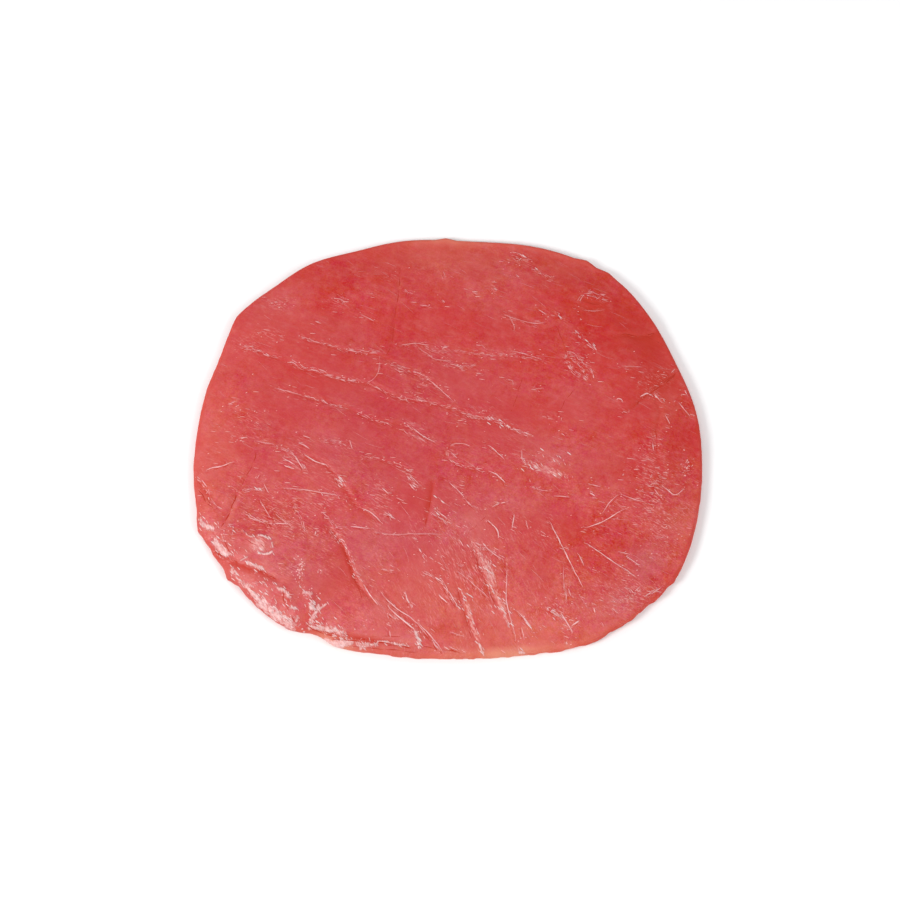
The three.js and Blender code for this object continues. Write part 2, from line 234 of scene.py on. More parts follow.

# Half width at most, number of strands side by side, and path of each thread of connective tissue, whose
# paleness is partly painted highlight
THREADS = [
    # Across the upper half
    (0.2, 2, [(-62, 29), (-57, 28), (-54, 26.5), (-50, 25.2)]),
    (0.26, 3, [(-47, 24.5), (-43, 22), (-40, 21.5), (-33, 19), (-26, 17.6)]),
    (0.2, 2, [(-22, 16.5), (-19, 14.7), (-14, 12.5), (-8, 11.8), (-3, 10.6), (3, 9)]),
    (0.22, 3, [(5, 7.5), (10, 6.3), (14, 5.5), (18, 3.5), (24, 1)]),
    (0.2, 2, [(-44, 31.7), (-40, 30.3), (-37, 29.6), (-31, 27.6)]),
    (0.24, 3, [(-30, 27.8), (-25, 27), (-20, 27)]),
    (0.2, 3, [(-17.5, 23.3), (-14.5, 22.2), (-12, 21.4), (-7, 19.3)]),
    (0.16, 1, [(-7, 19.3), (-4, 16.8), (-1, 14), (2, 11)]),
    (0.15, 1, [(-10, 29.5), (-5.5, 26), (-4, 24.9), (0, 24.3), (4, 22.5)]),
    (0.15, 2, [(-7, 29), (-4, 27.5), (0, 27)]),
    (0.15, 1, [(-2, 28.6), (0, 28.7)]),
    (0.16, 1, [(15.6, 39.9), (18.3, 38.2), (25, 36.2), (29.7, 36.5)]),
    (0.14, 1, [(18, 39), (19.5, 36), (19.8, 33.5)]),
    (0.13, 2, [(19.9, 58.4), (23.9, 57.1)]),
    (0.13, 2, [(25.9, 53.8), (30.9, 51.2)]),
    (0.2, 1, [(-26.5, 39), (-24, 38), (-21.7, 36.6)]),
    (0.16, 1, [(-52, 16), (-45, 14), (-42.5, 13.3)]),
    (0.24, 2, [(-43, 13.3), (-40, 12.6), (-36, 11), (-31, 9.8)]),
    (0.2, 2, [(-27, 8.3), (-22, 5.8), (-17, 4.5)]),
    (0.13, 1, [(-25, 16.5), (-22, 18.5), (-20.5, 21), (-20, 24.5)]),
    (0.14, 1, [(-12.7, 13.5), (-12, 11)]),
    (0.15, 2, [(-9.5, 13), (-6.5, 11.5)]),
    (0.13, 1, [(-16.5, 22), (-13.5, 20.5)]),
    (0.13, 1, [(-15, 29), (-10, 29.8), (-5, 29.2)]),
    (0.12, 1, [(0, 24), (5, 21.5)]),
    (0.12, 1, [(18, 27.5), (24, 26), (29, 24)]),
    (0.13, 1, [(17, 18.5), (19, 18), (19.5, 16.5)]),
    (0.12, 1, [(8, 20.4), (10, 20.3)]),
    (0.12, 1, [(25.5, 15.5), (28, 15.5)]),
    (0.13, 1, [(29, 7.5), (30, 6.4)]),
    (0.13, 1, [(33.5, 7), (33.5, 5.5)]),
    (0.18, 1, [(49.6, 11.4), (50.2, 12.3), (51.2, 12), (51.8, 11.1)]),
    (0.13, 1, [(51, 8.5), (53, 8)]),
    # The tuft and the loop in the middle
    (0.13, 1, [(-12.5, 4.8), (-10, 2.3)]),
    (0.13, 1, [(-11.5, 4.2), (-8, 1.2), (-6, 0.2)]),
    (0.13, 1, [(-10.5, 3.5), (-7, 0.5), (-3, -1.5)]),
    (0.13, 1, [(-9.5, 1), (-6.5, -1.2)]),
    (0.13, 1, [(-13.5, 3), (-11.5, 1)]),
    (0.18, 1, [(0.5, -2), (4, -1.5), (7, -2.8)]),
    (0.18, 2, [(-0.3, -3.5), (0, -5.5), (3, -8), (7, -9), (11, -10)]),
    (0.15, 1, [(11, -10), (14, -11), (17, -13.5)]),
    (0.2, 1, [(0.5, -4), (3, -6.3)]),
    (0.16, 1, [(21.5, -3), (22, -7), (23.5, -8.5)]),
    (0.16, 2, [(-25, -5), (-20, -6.2), (-15, -8), (-12, -9.5), (-10.5, -10.8)]),
    (0.24, 2, [(-12, -11.2), (-10.5, -13), (-8.5, -15)]),
    (0.24, 1, [(-11.5, -13.5), (-9.5, -16)]),
    # Across the left half
    (0.16, 1, [(-43, 1), (-40, 0)]),
    (0.18, 1, [(-44.3, -1.3), (-42, -2.2), (-40.3, -3.5)]),
    (0.16, 3, [(-37, -0.5), (-34, -1), (-31, -1.5)]),
    (0.17, 1, [(-42.5, -4.8), (-39, -7), (-36, -8), (-34.5, -9.5)]),
    (0.2, 3, [(-33, -11.5), (-31.5, -13.5), (-30, -15)]),
    (0.17, 1, [(-26, -21), (-22, -23), (-19, -26)]),
    (0.17, 1, [(-19, -22), (-15, -25)]),
    (0.18, 2, [(-49, -3), (-45.5, -5), (-41.5, -9.5)]),
    (0.16, 1, [(-49, -5.5), (-44.5, -8.5)]),
    (0.16, 1, [(-48.5, -8.2), (-44.5, -9.5)]),
    (0.16, 1, [(-45, -5), (-42, -10)]),
    (0.14, 1, [(-29, 0), (-28, -3.5)]),
    (0.16, 1, [(-62, 0), (-58.5, 0.2)]),
    (0.2, 1, [(-71.5, -10), (-69, -9), (-66, -8.3), (-62, -7)]),
    (0.16, 1, [(-65, 10.7), (-62.5, 11.7)]),
    (0.3, 2, [(-74.3, -10.5), (-72, -13), (-70, -16), (-69.3, -18.5), (-67.5, -20.5), (-65.5, -21.7)]),
    (0.2, 2, [(-60, -16.5), (-57, -15.8), (-54, -15.5)]),
    (0.12, 1, [(-50, -15), (-40, -16), (-30, -18)]),
    (0.18, 1, [(-54, -13.5), (-52, -17)]),
    (0.2, 2, [(-59.5, -22.5), (-57, -24), (-54, -25), (-51, -26.5)]),
    (0.18, 1, [(-55, -18), (-53, -22), (-51, -25)]),
    (0.22, 1, [(-50.5, -22.5), (-48, -25), (-45, -27)]),
    (0.16, 2, [(-45, -20), (-43, -24), (-41.5, -28)]),
    (0.26, 2, [(-33, -27), (-30, -27.5)]),
    (0.15, 1, [(-29, -27), (-22, -27.5)]),
    (0.1, 1, [(-22, -28.5), (-15.8, -29.4), (-10, -29.2), (-0.3, -29.4)]),
    (0.14, 1, [(-51, -26), (-46, -26.3)]),
    (0.14, 1, [(-59, -24), (-55.5, -25.2), (-52.3, -26.4)]),
    (0.15, 2, [(-37, -22), (-35, -24), (-33, -26.5)]),
    (0.2, 2, [(-38, -28), (-38.5, -29.5)]),
    (0.14, 1, [(-19.5, -15), (-17, -17.5)]),
    (0.14, 1, [(-15.5, -18), (-12.5, -19.5)]),
    (0.16, 2, [(-18, -22.5), (-16, -24.5)]),
    (0.15, 1, [(-11.5, -10.7), (-8, -14.5)]),
    (0.14, 1, [(-57, -0.8), (-53, -1.6), (-50.5, -2)]),
    (0.12, 1, [(-56, -13), (-55, -11)]),
    # Down the front middle
    (0.2, 2, [(-34.5, -28), (-32, -30.5), (-30, -32), (-28.5, -36)]),
    (0.11, 2, [(-28, -36), (-26.7, -40), (-24.3, -44)]),
    (0.16, 1, [(-24.3, -44), (-22.6, -47.2), (-19.7, -50.8)]),
    (0.18, 1, [(-20.2, -45.4), (-17.6, -48.6), (-14.4, -51.6), (-10.3, -54.5), (-6, -58.9), (-2.2, -63.6)]),
    (0.15, 1, [(-9.5, -54.8), (-5.2, -59), (-1.2, -64)]),
    (0.2, 1, [(-17.5, -49.8), (-16.1, -52), (-12.7, -55), (-9.8, -57.5), (-8.9, -58.9)]),
    (0.18, 1, [(-17.3, -52.7), (-15, -54.8)]),
    (0.28, 2, [(-12.5, -46), (-11, -50), (-10, -51.5)]),
    (0.18, 1, [(-16.8, -57.5), (-16.3, -60)]),
    (0.2, 2, [(-19.5, -39.8), (-15, -40.5)]),
    (0.22, 2, [(-8.5, -33.5), (-6, -37)]),
    (0.15, 2, [(-5.5, -22.5), (-2.5, -24.5), (0, -26.5)]),
    (0.15, 1, [(-3.5, -22), (0, -25)]),
    (0.18, 2, [(-7.5, -40.5), (-4, -42), (-1.5, -44), (0.5, -47.5), (3, -51)]),
    (0.2, 1, [(-3, -47), (0, -50)]),
    (0.15, 1, [(1.6, -39.6), (5, -42.2), (8.8, -45.6), (12.6, -49)]),
    (0.15, 1, [(10.1, -32.4), (13.2, -35.1), (16.5, -37.4)]),
    (0.18, 2, [(7.5, -31.5), (12, -34), (16.5, -36.8)]),
    (0.16, 1, [(11, -24.5), (14.3, -28), (14.7, -31)]),
    (0.15, 2, [(5, -19), (9, -22)]),
    (0.2, 1, [(15, -20), (17, -19.5)]),
    (0.15, 1, [(19.5, -23), (18.5, -28)]),
    (0.13, 1, [(17.1, -37.4), (17, -43.1), (16.9, -49), (18.3, -55), (20, -61.3)]),
    (0.2, 2, [(3, -38), (4.5, -39.2)]),
    (0.18, 1, [(3, -30.5), (4.5, -33)]),
    (0.16, 1, [(5.5, -28), (4.5, -29.5)]),
    (0.14, 1, [(0, -46), (3, -51)]),
    (0.13, 1, [(19.5, -51.5), (23, -55.5), (24.5, -58)]),
    (0.13, 1, [(20.5, -52), (24, -56.5)]),
    (0.13, 1, [(21, -56), (22, -60)]),
    (0.13, 1, [(0, -58), (5, -59.5)]),
    (0.14, 1, [(0, -62), (3, -63.5)]),
    (0.13, 1, [(33.5, -38), (33.4, -43), (33.6, -47)]),
    (0.13, 1, [(22.5, -25), (23.5, -28)]),
    (0.13, 1, [(0, -13), (3, -16), (5, -18.5)]),
    (0.13, 1, [(11, -1.5), (14, -4), (17, -7)]),
    (0.13, 1, [(14, -11), (17, -14)]),
    (0.13, 1, [(12.5, -21.5), (15, -19.8)]),
    # Across the right half
    (0.23, 1, [(28.7, -23.5), (31.6, -29.5), (35.3, -37.5), (39.5, -46.5)]),
    (0.13, 1, [(37.5, -34.5), (39.5, -39)]),
    (0.2, 1, [(38.8, -31), (45, -35.5), (50.2, -39), (55.4, -42.5)]),
    (0.15, 1, [(51, -35.5), (55.5, -38.5)]),
    (0.18, 1, [(38, -27.5), (41, -27), (45, -25.5), (49, -23), (52.5, -21)]),
    (0.15, 1, [(44.5, -24), (46.5, -20.5), (48.5, -18.5), (50, -17)]),
    (0.18, 2, [(24, -14.5), (27, -15.8), (29.5, -16), (30, -15)]),
    (0.12, 1, [(30, -17.5), (36, -18)]),
    (0.13, 1, [(40.5, -14), (45, -15)]),
    (0.13, 1, [(41, -16.5), (43, -18)]),
    (0.13, 1, [(26.5, -28), (28.5, -29.5)]),
    (0.16, 1, [(34, -45), (34, -49.5)]),
    (0.16, 1, [(34.5, -45), (35.5, -48)]),
    (0.22, 1, [(32, -52), (35, -56.5), (36, -58.5)]),
    (0.2, 1, [(35, -56.5), (38, -54.5)]),
    (0.24, 3, [(28, -51), (31, -52.5), (33, -54)]),
    (0.18, 1, [(34, -60), (34.3, -61.5)]),
    (0.17, 1, [(41.8, -50.5), (42.5, -52.5)]),
    (0.17, 1, [(47, -50.5), (49, -52.5)]),
    (0.17, 1, [(44, -54.5), (45, -56.5)]),
    (0.2, 2, [(52.5, -45), (53.5, -46.5), (56, -44.5)]),
    (0.18, 1, [(62, -14), (64, -15.5), (66, -17), (68, -16), (69.5, -14.5)]),
    (0.17, 1, [(72.5, -14), (74, -13)]),
    (0.28, 1, [(68, 12.4), (69.9, 9.8), (71.8, 7.5)]),
    (0.24, 1, [(70.1, 16.1), (70.6, 15.2), (71, 14.3)]),
    (0.24, 1, [(64, 7.8), (64.8, 6.2), (65.4, 4.6)]),
    (0.26, 1, [(56.7, 12.9), (58.7, 14.2), (60.7, 13.3)]),
    (0.16, 1, [(66, 21), (68, 23)]),
    (0.22, 2, [(39, 43), (40, 44.9), (41.5, 45.7), (45.5, 44.6), (48, 43.5)]),
    (0.13, 1, [(39.5, 40.9), (43.4, 40.3), (47.4, 40.9)]),
    (0.18, 2, [(41.6, 47), (44.6, 46.1), (47.5, 45.7)]),
    (0.16, 1, [(26.5, 40.7), (29.7, 38.9)]),
    (0.2, 1, [(32.7, 39.4), (34.1, 37)]),
    (0.3, 1, [(32.5, 39.3), (33.5, 38.3), (34.4, 37.6)]),
    (0.4, 2, [(37.9, 34.2), (38.7, 32.7), (39.8, 31.3)]),
    (0.36, 2, [(41.3, 29.9), (43, 28.3), (44.2, 26.9)]),
    (0.22, 2, [(34.8, 24.5), (35.8, 26.6), (38.2, 25.7), (40.2, 23.4), (42.6, 21.3), (43.1, 18.7)]),
    (0.22, 3, [(35.7, 23.4), (37.2, 20.8), (39.6, 19.2), (41.6, 18.2)]),
    (0.2, 2, [(36.4, 24.8), (38.4, 23.6), (40, 21.2), (41.5, 19.6)]),
    (0.15, 2, [(-2.3, 28.2), (8, 26.6), (18, 25.9), (27.3, 24.7)]),
    (0.14, 2, [(-1.3, 22.9), (4, 22.6), (8.6, 22.9)]),
    (0.13, 1, [(52, 22.5), (58, 22.5)]),
    (0.15, 1, [(60.5, 15), (63.5, 11)]),
    (0.15, 1, [(50, -17), (55, -19), (58, -19.5)]),
    (0.14, 1, [(60, -15), (62, -18)]),
    (0.14, 1, [(49, -34.5), (53, -35.5)]),
    (0.14, 1, [(58, -47), (62, -44.3)]),
    (0.14, 1, [(56.5, -47.5), (60, -45)]),
    (0.13, 1, [(60, -0.5), (60.3, -4)]),
    (0.14, 1, [(33, 2), (34.5, 0.8)]),
    # Short ends near the back
    (0.14, 2, [(-1.5, 53.5), (-0.5, 51)]),
    (0.18, 1, [(-2, 44), (-0.8, 42.5)]),
    (0.16, 2, [(-13.5, 47), (-10.3, 45.5)]),
    (0.14, 1, [(-9, 42), (-5.5, 41.5)]),
    (0.16, 1, [(7, 46.5), (9, 45.3)]),
    (0.14, 1, [(13.5, 48), (15, 46.8)]),
    (0.14, 1, [(20, 52.5), (21.5, 51)]),
    (0.26, 2, [(20.5, 60), (24, 58)]),
    (0.14, 1, [(10, 29.2), (11.3, 28)]),
    (0.14, 1, [(-52.5, 44), (-50.5, 43.5)]),
    (0.14, 2, [(-33, 44.5), (-30, 42.5)]),
    (0.14, 1, [(-40, 37), (-37.5, 36)]),
    (0.14, 1, [(-55.5, 34.5), (-53, 34)]),
    (0.14, 1, [(-51, 32.5), (-49, 32)]),
]

# Half width and path of each patch of thin fascia that lies wet on the front left rim; its pale colour is
# partly painted highlight of the wet rim
FASCIA_AND_HIGHLIGHTS = [
    (0.9, [(-72.2, -24.2), (-70.8, -26.2), (-68, -27.6)]),
    (1.5, [(-67.4, -31.4), (-66.1, -32.9), (-64.6, -34.8)]),
    (0.35, [(-64.1, -32.5), (-63.1, -34.5), (-62.3, -36.3)]),
    (0.35, [(-63.9, -27.3), (-62.9, -27), (-62.1, -28.5)]),
    (0.35, [(-59.4, -28.1), (-58, -29.8), (-56.4, -30.4)]),
    (0.5, [(-54.7, -29.8), (-52.6, -30.1), (-51.2, -31)]),
    (0.4, [(-50.8, -32), (-50.5, -33.4)]),
    (0.5, [(-54.6, -35.2), (-52.5, -35.5), (-50.7, -34.7)]),
    (0.4, [(-59.6, -37.1), (-58, -36.3)]),
    (0.7, [(-58, -37.8), (-55.9, -38.8), (-53.3, -39.8)]),
    (0.8, [(-52.8, -43.7), (-50.3, -45.2), (-47.1, -46.5), (-45.6, -48.3), (-44.6, -51)]),
    (0.8, [(-41.3, -46.9), (-39.3, -47.5)]),
    (0.9, [(-62.3, -39.5), (-61, -41.6), (-59.3, -43.4)]),
    (1.0, [(-59.3, -43.4), (-57.3, -45.5), (-54.9, -48.1)]),
    (1.9, [(-54.3, -49), (-50.5, -52), (-47.9, -54.1), (-44.8, -56.2)]),
    (0.7, [(-44.1, -51.2), (-42.9, -53.3)]),
    (1.1, [(-39.3, -50.3), (-38.4, -52.7), (-38.8, -54.5)]),
    (0.7, [(-37.2, -50.6), (-37.2, -52.7)]),
    (0.5, [(-37.2, -52), (-35, -50.3)]),
    (0.3, [(-43.6, -54.3), (-42.5, -56.4), (-41.1, -58)]),
    (1.2, [(-39.5, -56.4), (-36.6, -56.8), (-33.3, -57.4), (-29.5, -58.3)]),
    (1.4, [(-36.2, -60.1), (-33.8, -60.8), (-30.4, -61.6)]),
    (1.1, [(-30.9, -60.8), (-28, -61.3)]),
    (0.6, [(-25.4, -60.8), (-25.1, -62.8)]),
    (0.9, [(-9.1, -58.5), (-8.4, -59.9), (-8.2, -61.6)]),
    (0.5, [(-8.4, -62.3), (-7.9, -63)]),
    (0.8, [(-31, -60.3), (-26, -61.4), (-21, -62)]),
    (0.35, [(-20, -60.8), (-15, -61.6), (-11, -62.3)]),
    (0.55, [(9, -61.5), (9.7, -63), (10.3, -64.4)]),
    (0.5, [(20.6, -63.6), (22, -63.8)]),
]

# Half width, strength and path of each sheet of pale tissue that the knife bared at a slant
SHEETS = [
    (2.1, 1, [(5, -28.5), (8.8, -34.7), (11.3, -39.3), (13.2, -44.9), (15, -50), (16.5, -53)]),
    (1.3, 1, [(12, -42), (14.2, -47.5), (15.8, -51.5), (17.3, -55), (18.6, -58.5)]),
    (0.8, 1, [(13.8, -50), (15.4, -51.9), (17.3, -54)]),
    (1.3, 1, [(3.6, -44), (5, -48.5), (6.2, -52.9), (7.3, -56.9), (9, -61.3), (10.4, -64.6)]),
    (3, 1.2, [(-57.5, -31.8), (-54.5, -32.8), (-52, -33)]),
    (0.9, 0.6, [(19.6, -52), (21.7, -54), (23.6, -57.4)]),
    (1.0, 0.6, [(26.5, -51.7), (30.3, -53), (33.6, -55.4)]),
    (0.9, 0.55, [(-33.5, -28.5), (-31, -31.5), (-28.5, -36), (-27, -40), (-25, -44), (-22.5, -47.5)]),
    (1.4, 0.4, [(-4, -14), (-3.5, -20), (-5, -25)]),
    (1.9, 1, [(22, -6), (25.5, -8.7), (30.9, -10.6), (36.7, -12.6)]),
    (2.4, 0.55, [(26, -4.5), (31, -6.8), (36, -8.5)]),
    (0.9, 0.5, [(22.5, -13.5), (26, -15.3), (30, -16)]),
    (1.2, 0.5, [(-34, -11), (-31.5, -13.5), (-29.5, -15.5)]),
    (1.1, 0.7, [(-12.3, -11.5), (-10, -14.5), (-9, -16)]),
    (1.2, 0.5, [(5, 8), (10, 6.5), (16, 4.5), (22, 2)]),
    (1.0, 0.6, [(38.5, 34.5), (39.5, 32)]),
    (1.0, 0.5, [(41, 32), (43, 29.5), (45, 28)]),
    (1.2, 0.5, [(35.5, 26), (36, 23.5), (38, 21)]),
    (0.8, 0.5, [(58.5, 14.5), (60.5, 15), (63.5, 11.5)]),
    (0.8, 0.5, [(-12.8, -46), (-11, -50)]),
    (0.7, 0.5, [(-8.5, -34), (-6.3, -36.7)]),
    (1.5, 0.35, [(20.5, 59.5), (24, 58)]),
    (0.9, 0.4, [(25, 54.5), (29.5, 52.7)]),
    (0.9, 0.4, [(13.3, 48.5), (14.8, 46.8)]),
    (1.4, 0.3, [(49, 45.5), (43, 44.6), (39, 46)]),
    (0.6, 0.4, [(-60, -16), (-54, -15.6), (-44, -15.8), (-35, -17), (-28, -19)]),
]

# Centre, reach along X and Y, and strength of each veil, partly pale tissue just under the surface and partly
# painted sheen of the wet face
VEILS_AND_SHEEN = [(31, -5.5, 8, 6, 0.6), (7, -27, 6, 5, 0.5), (58, -36, 4, 4, 0.4), (-48, -37, 9, 7, 0.15),
         (-55, -44, 14, 12, 0.2), (38, 12, 12, 7, 0.3), (-22, -35, 8, 9, 0.3), (14, 46, 13, 9, 0.38),
         (43, 42, 6, 5, -0.2), (8, -58, 28, 8, 0.08), (24, -53, 9, 6, 0.15), (16, 52, 4, 3, 0.2),
         (-5, 37, 4, 2, 0.15), (53, 32, 5, 2, 0.2), (5, 14, 5, 4, 0.12), (54, 22.5, 5, 1, 0.3),
         (13, -42, 4, 9, 0.25), (14, -19, 17, 6, 0.3), (-54.5, -32.8, 3.2, 2.2, 0.9), (50, 42, 14, 12, -0.25),
         (-4, -42, 10, 10, 0.15), (21, -44, 4, 8, 0.3), (-20, -51, 7, 5, 0.3),
         (-22, -61, 13, 2.5, 0.7), (-61, -20, 4, 4, 0.25), (-67, 4, 8, 14, -0.2), (-12, 57, 14, 6, -0.25),
         (-49, -10, 6, 5, -0.15), (49, -50, 7, 5, 0.3), (22, 2, 10, 6, 0.12)]
# The same for where the meat is a deeper red, partly its own colour and partly painted shade beside creases
# and the flap
DEEP_REDS_AND_SHADES = [(44, 42, 9, 6, 0.5), (40, 36, 8, 5, 0.15), (1, -57, 10, 6, 0.12), (52, 34, 10, 10, 0.24),
          (62, 22, 7, 8, 0.12), (60, 31, 7, 4, 0.5), (63, 18.5, 7, 4, 0.42), (-40, 50, 9, 5, 0.25),
          (38, -35, 8, 7, 0.2), (-33, -41, 6, 9, 0.3), (-18, 0, 9, 6, 0.15), (-50, -20, 6, 4, 0.15),
          (-20, 37, 12, 4, 0.2), (-38, 17, 12, 3, 0.2)]
# The same for warmer, thinner stretches of the slice
WARMTHS = [(22, -60, 22, 10, 0.8), (-2, 60, 26, 9, 0.5), (68, -30, 7, 14, 0.5), (-70, 0, 8, 30, 0.4),
           (-60, -40, 8, 8, 0.2), (40, 56, 14, 6, 0.3), (0, -47, 30, 10, 0.3), (64, 10, 5, 12, 0.3)]
# The same for duller, more purple stretches, where the meat has had less air
DUSKS = [(-18, 2, 34, 26, 0.26), (57, -37, 5, 5, 0.3), (-36, -38, 12, 9, 0.25), (-10, -30, 16, 8, 0.2)]
# The same for where the face is flecked with short ends of fibre and painted glints, away from the threads
FLECKED = [(60, -14, 4, 14, 0.6), (64, -25, 5, 5, 0.5), (8, 7, 6, 3, 0.4), (-47, -23, 9, 6, 0.35),
           (1, -30, 8, 8, 0.35), (30, -54, 7, 4, 0.35), (50, -48, 9, 4, 0.45), (38, 26, 4, 7, 0.2),
           (-33, 43, 3, 3, 0.5), (-50, 43, 4, 2.5, 0.45), (-53, 32, 4, 2, 0.4), (-58, 5, 7, 6, 0.3),
           (-60, 30, 4, 3, 0.35), (-22, -18, 6, 4, 0.35), (-65, -30, 6, 6, 0.4), (62, 19, 4, 3, 0.45),
           (-6, 17, 4, 2.5, 0.5), (22, 57, 4, 2, 0.4), (-18, 52, 3, 2, 0.3), (14, 47, 2, 2, 0.4),
           (-62, -16, 3, 3, 0.5), (10, -40, 4, 8, 0.35), (-55, -44, 7, 6, 0.3), (27, -8, 5, 3, 0.3),
           (-2, -42, 8, 3, 0.3), (70, -9, 2, 4, 0.3), (-22, 46, 3, 1.5, 0.3), (-10, 54, 3, 3, 0.25)]
# The same for where juice has gathered in small beads
FOAM = [(-42.7, -40.3, 1.5, 3.2, 1), (-36.8, -40, 1, 1, 0.7), (-40, -47, 2.5, 1.5, 0.4),
        (-50, -48, 7, 2, 0.12), (70.5, -8.5, 1.5, 2.5, 0.35), (-66, -31, 3, 3, 0.12),
        (-30, -60, 8, 1.5, 0.15)]
# Bearing and spread of each stretch of the rim that is thin enough to look warmer
THIN_RIM = [(72, 26), (285, 25)]
# Bearing, spread and strength of each stretch of the rim that keeps a thin rind of pale fat
FAT_RIM = [(286, 7, 0.42), (278, 24, 0.2), (90, 10, 0.25), (242, 6, 0.4)]
FAT_DEPTH = 2.2
# Tissue colours only what is above the first level, and grains lie only above the second and this far in
SKIN_LEVEL = 1.2
FACE_LEVEL = 2
FACE_INSET = 1


def bell(value):
    """1 at nought, and soon nothing to both sides of it."""
    return np.exp(-value * value)


def soft_step(value, middle, spread):
    """1 well below the middle and 0 well above it, with a soft step between."""
    return 1 / (1 + np.exp((value - middle) / spread))


def turn_between(bearing, other):
    """The turn from one bearing to another, from -180 to 180 degrees."""
    return (bearing - other + 180) % 360 - 180


def patched(x, y, patches, ground=0.0):
    """Soft patches on an even or uneven ground, each with its centre, reach along X and Y, and strength."""
    values = ground + np.zeros_like(x)
    for at_x, at_y, reach_x, reach_y, strength in patches:
        values += strength * bell(np.hypot((x - at_x) / reach_x, (y - at_y) / reach_y))
    return values


def edge_radius(bearing):
    """How far the cut edge is from the middle, at bearings in degrees."""
    angle = np.radians(bearing)
    squareness = np.where(np.sin(angle) > 0, BACK_SQUARENESS, FRONT_SQUARENESS)
    across = np.abs(np.cos(angle) * 2 / LENGTH) ** squareness
    along = np.abs(np.sin(angle) * 2 / BREADTH) ** squareness
    radius = (across + along) ** (-1 / squareness)
    for middle, spread, rise in TRIMS:
        radius += rise * bell(turn_between(bearing, middle) / spread)
    for middle, spread, rise in CORNERS:
        radius += rise * np.maximum(0, 1 - np.abs(turn_between(bearing, middle)) / spread)
    return radius


def rim_place(x, y):
    """The bearings of points in degrees, and how far in from the cut edge they are."""
    bearing = np.degrees(np.arctan2(y, x))
    return bearing, edge_radius(bearing) - np.hypot(x, y)


def softness(bearing):
    """1 where the rim is thick and rolls down softly, 0 where it is firm and thin."""
    return bell(turn_between(bearing, ROLL_BEARING) / ROLL_SPREAD)


def roll_width(bearing):
    """How far in from the edge the rim starts to roll down."""
    return ROLL_FIRM + (ROLL_SOFT - ROLL_FIRM) * softness(bearing)


# Into how many steps a path is cut, and each stretch between two given corners before that
PATH_STEPS = 28
STRETCH_STEPS = 12


def smooth_path(corners, steps=PATH_STEPS):
    """Evenly spaced points on a smooth curve through given ones."""
    corners = np.array(corners, float)
    padded = np.vstack([corners[:1], corners, corners[-1:]])
    share = np.linspace(0, 1, STRETCH_STEPS, endpoint=False)[:, None]
    runs = []
    for i in range(len(corners) - 1):
        before, start, end, after = padded[i:i + 4]
        leave, arrive = (end - before) / 2, (after - start) / 2
        runs.append((2 * start - 2 * end + leave + arrive) * share ** 3
                    + (3 * end - 3 * start - 2 * leave - arrive) * share ** 2 + leave * share + start)
    curve = np.vstack([*runs, corners[-1:]])
    travelled = np.concatenate([[0], np.cumsum(np.linalg.norm(np.diff(curve, axis=0), axis=1))])
    even = np.linspace(0, travelled[-1], steps + 1)
    return np.column_stack([np.interp(even, travelled, curve[:, axis]) for axis in (0, 1)])


# A soft shape along a path is worked out to this many times its width, where hardly any of it is left
CUTOFF = 4


def along_path(corners, x, y, reach):
    """Which points are within reach of a path, how far to its left they are, and a fade to its ends."""
    path = smooth_path(corners)
    low, high = path.min(axis=0) - reach, path.max(axis=0) + reach
    near = np.flatnonzero((x > low[0]) & (x < high[0]) & (y > low[1]) & (y < high[1]))
    gap = np.column_stack([x[near], y[near]])[:, None, :] - path[None, :-1, :]
    run = np.diff(path, axis=0)
    step = np.clip((gap * run).sum(axis=2) / (run * run).sum(axis=1), 0, 1)
    gap -= step[:, :, None] * run
    distance = np.hypot(gap[..., 0], gap[..., 1])
    best = distance.argmin(axis=1)
    rows = np.arange(len(near))
    side = run[best, 0] * gap[rows, best, 1] - run[best, 1] * gap[rows, best, 0]
    share = (best + step[rows, best]) / len(run)
    fade = np.sqrt(np.maximum(0, np.sin(np.pi * share)))
    return near, distance[rows, best] * np.where(side < 0, -1, 1), fade


# The random lumps repeat after this many each way
KNOTS = 256


def lumps(x, y, size, seed, bearing=0.0, stretch=1.0):
    """Smooth random relief from -1 to 1, in lumps of that size that are longer along bearing."""
    angle = math.radians(bearing)
    u = (x * math.cos(angle) + y * math.sin(angle)) / (size * stretch)
    v = (y * math.cos(angle) - x * math.sin(angle)) / size
    knots = np.random.default_rng(seed).uniform(-1, 1, (KNOTS, KNOTS))
    column, row = np.floor(u).astype(int), np.floor(v).astype(int)
    across, along = u - column, v - row
    across, along = across * across * (3 - 2 * across), along * along * (3 - 2 * along)
    near, far = (knots[column % KNOTS, line % KNOTS] * (1 - across)
                 + knots[(column + 1) % KNOTS, line % KNOTS] * across for line in (row, row + 1))
    return near * (1 - along) + far * along


def relief(x, y, rows):
    """The sum of random lumps, each row with its height, size, seed, bearing and stretch."""
    return sum(height * lumps(x, y, *row) for height, *row in rows)


# Where along X the fibres run most steeply, how far to both sides, and the middle and spread of its end on Y
STEEP_MIDDLE = 6
STEEP_SPREAD = 36
STEEP_END = (-24, 6)


def steepness(x, y):
    """Where the fibres run steeply down the slice (1) and where they lie flatter (0)."""
    return bell((x - STEEP_MIDDLE) / STEEP_SPREAD) * soft_step(y, *STEEP_END)


def fine_relief(x, y):
    """Fine relief of the cut fibres, which run down to the right, with dimples, and wrinkles at the rim."""
    steep = steepness(x, y)
    bearing, inset = rim_place(x, y)
    wrinkled = softness(bearing) * bell(inset / WRINKLE_REACH)
    return (relief(x, y, FLAT_FIBRES) * (1 - steep) + relief(x, y, STEEP_FIBRES) * steep
            + relief(x, y, DIMPLES) + relief(x, y, WRINKLES) * wrinkled)


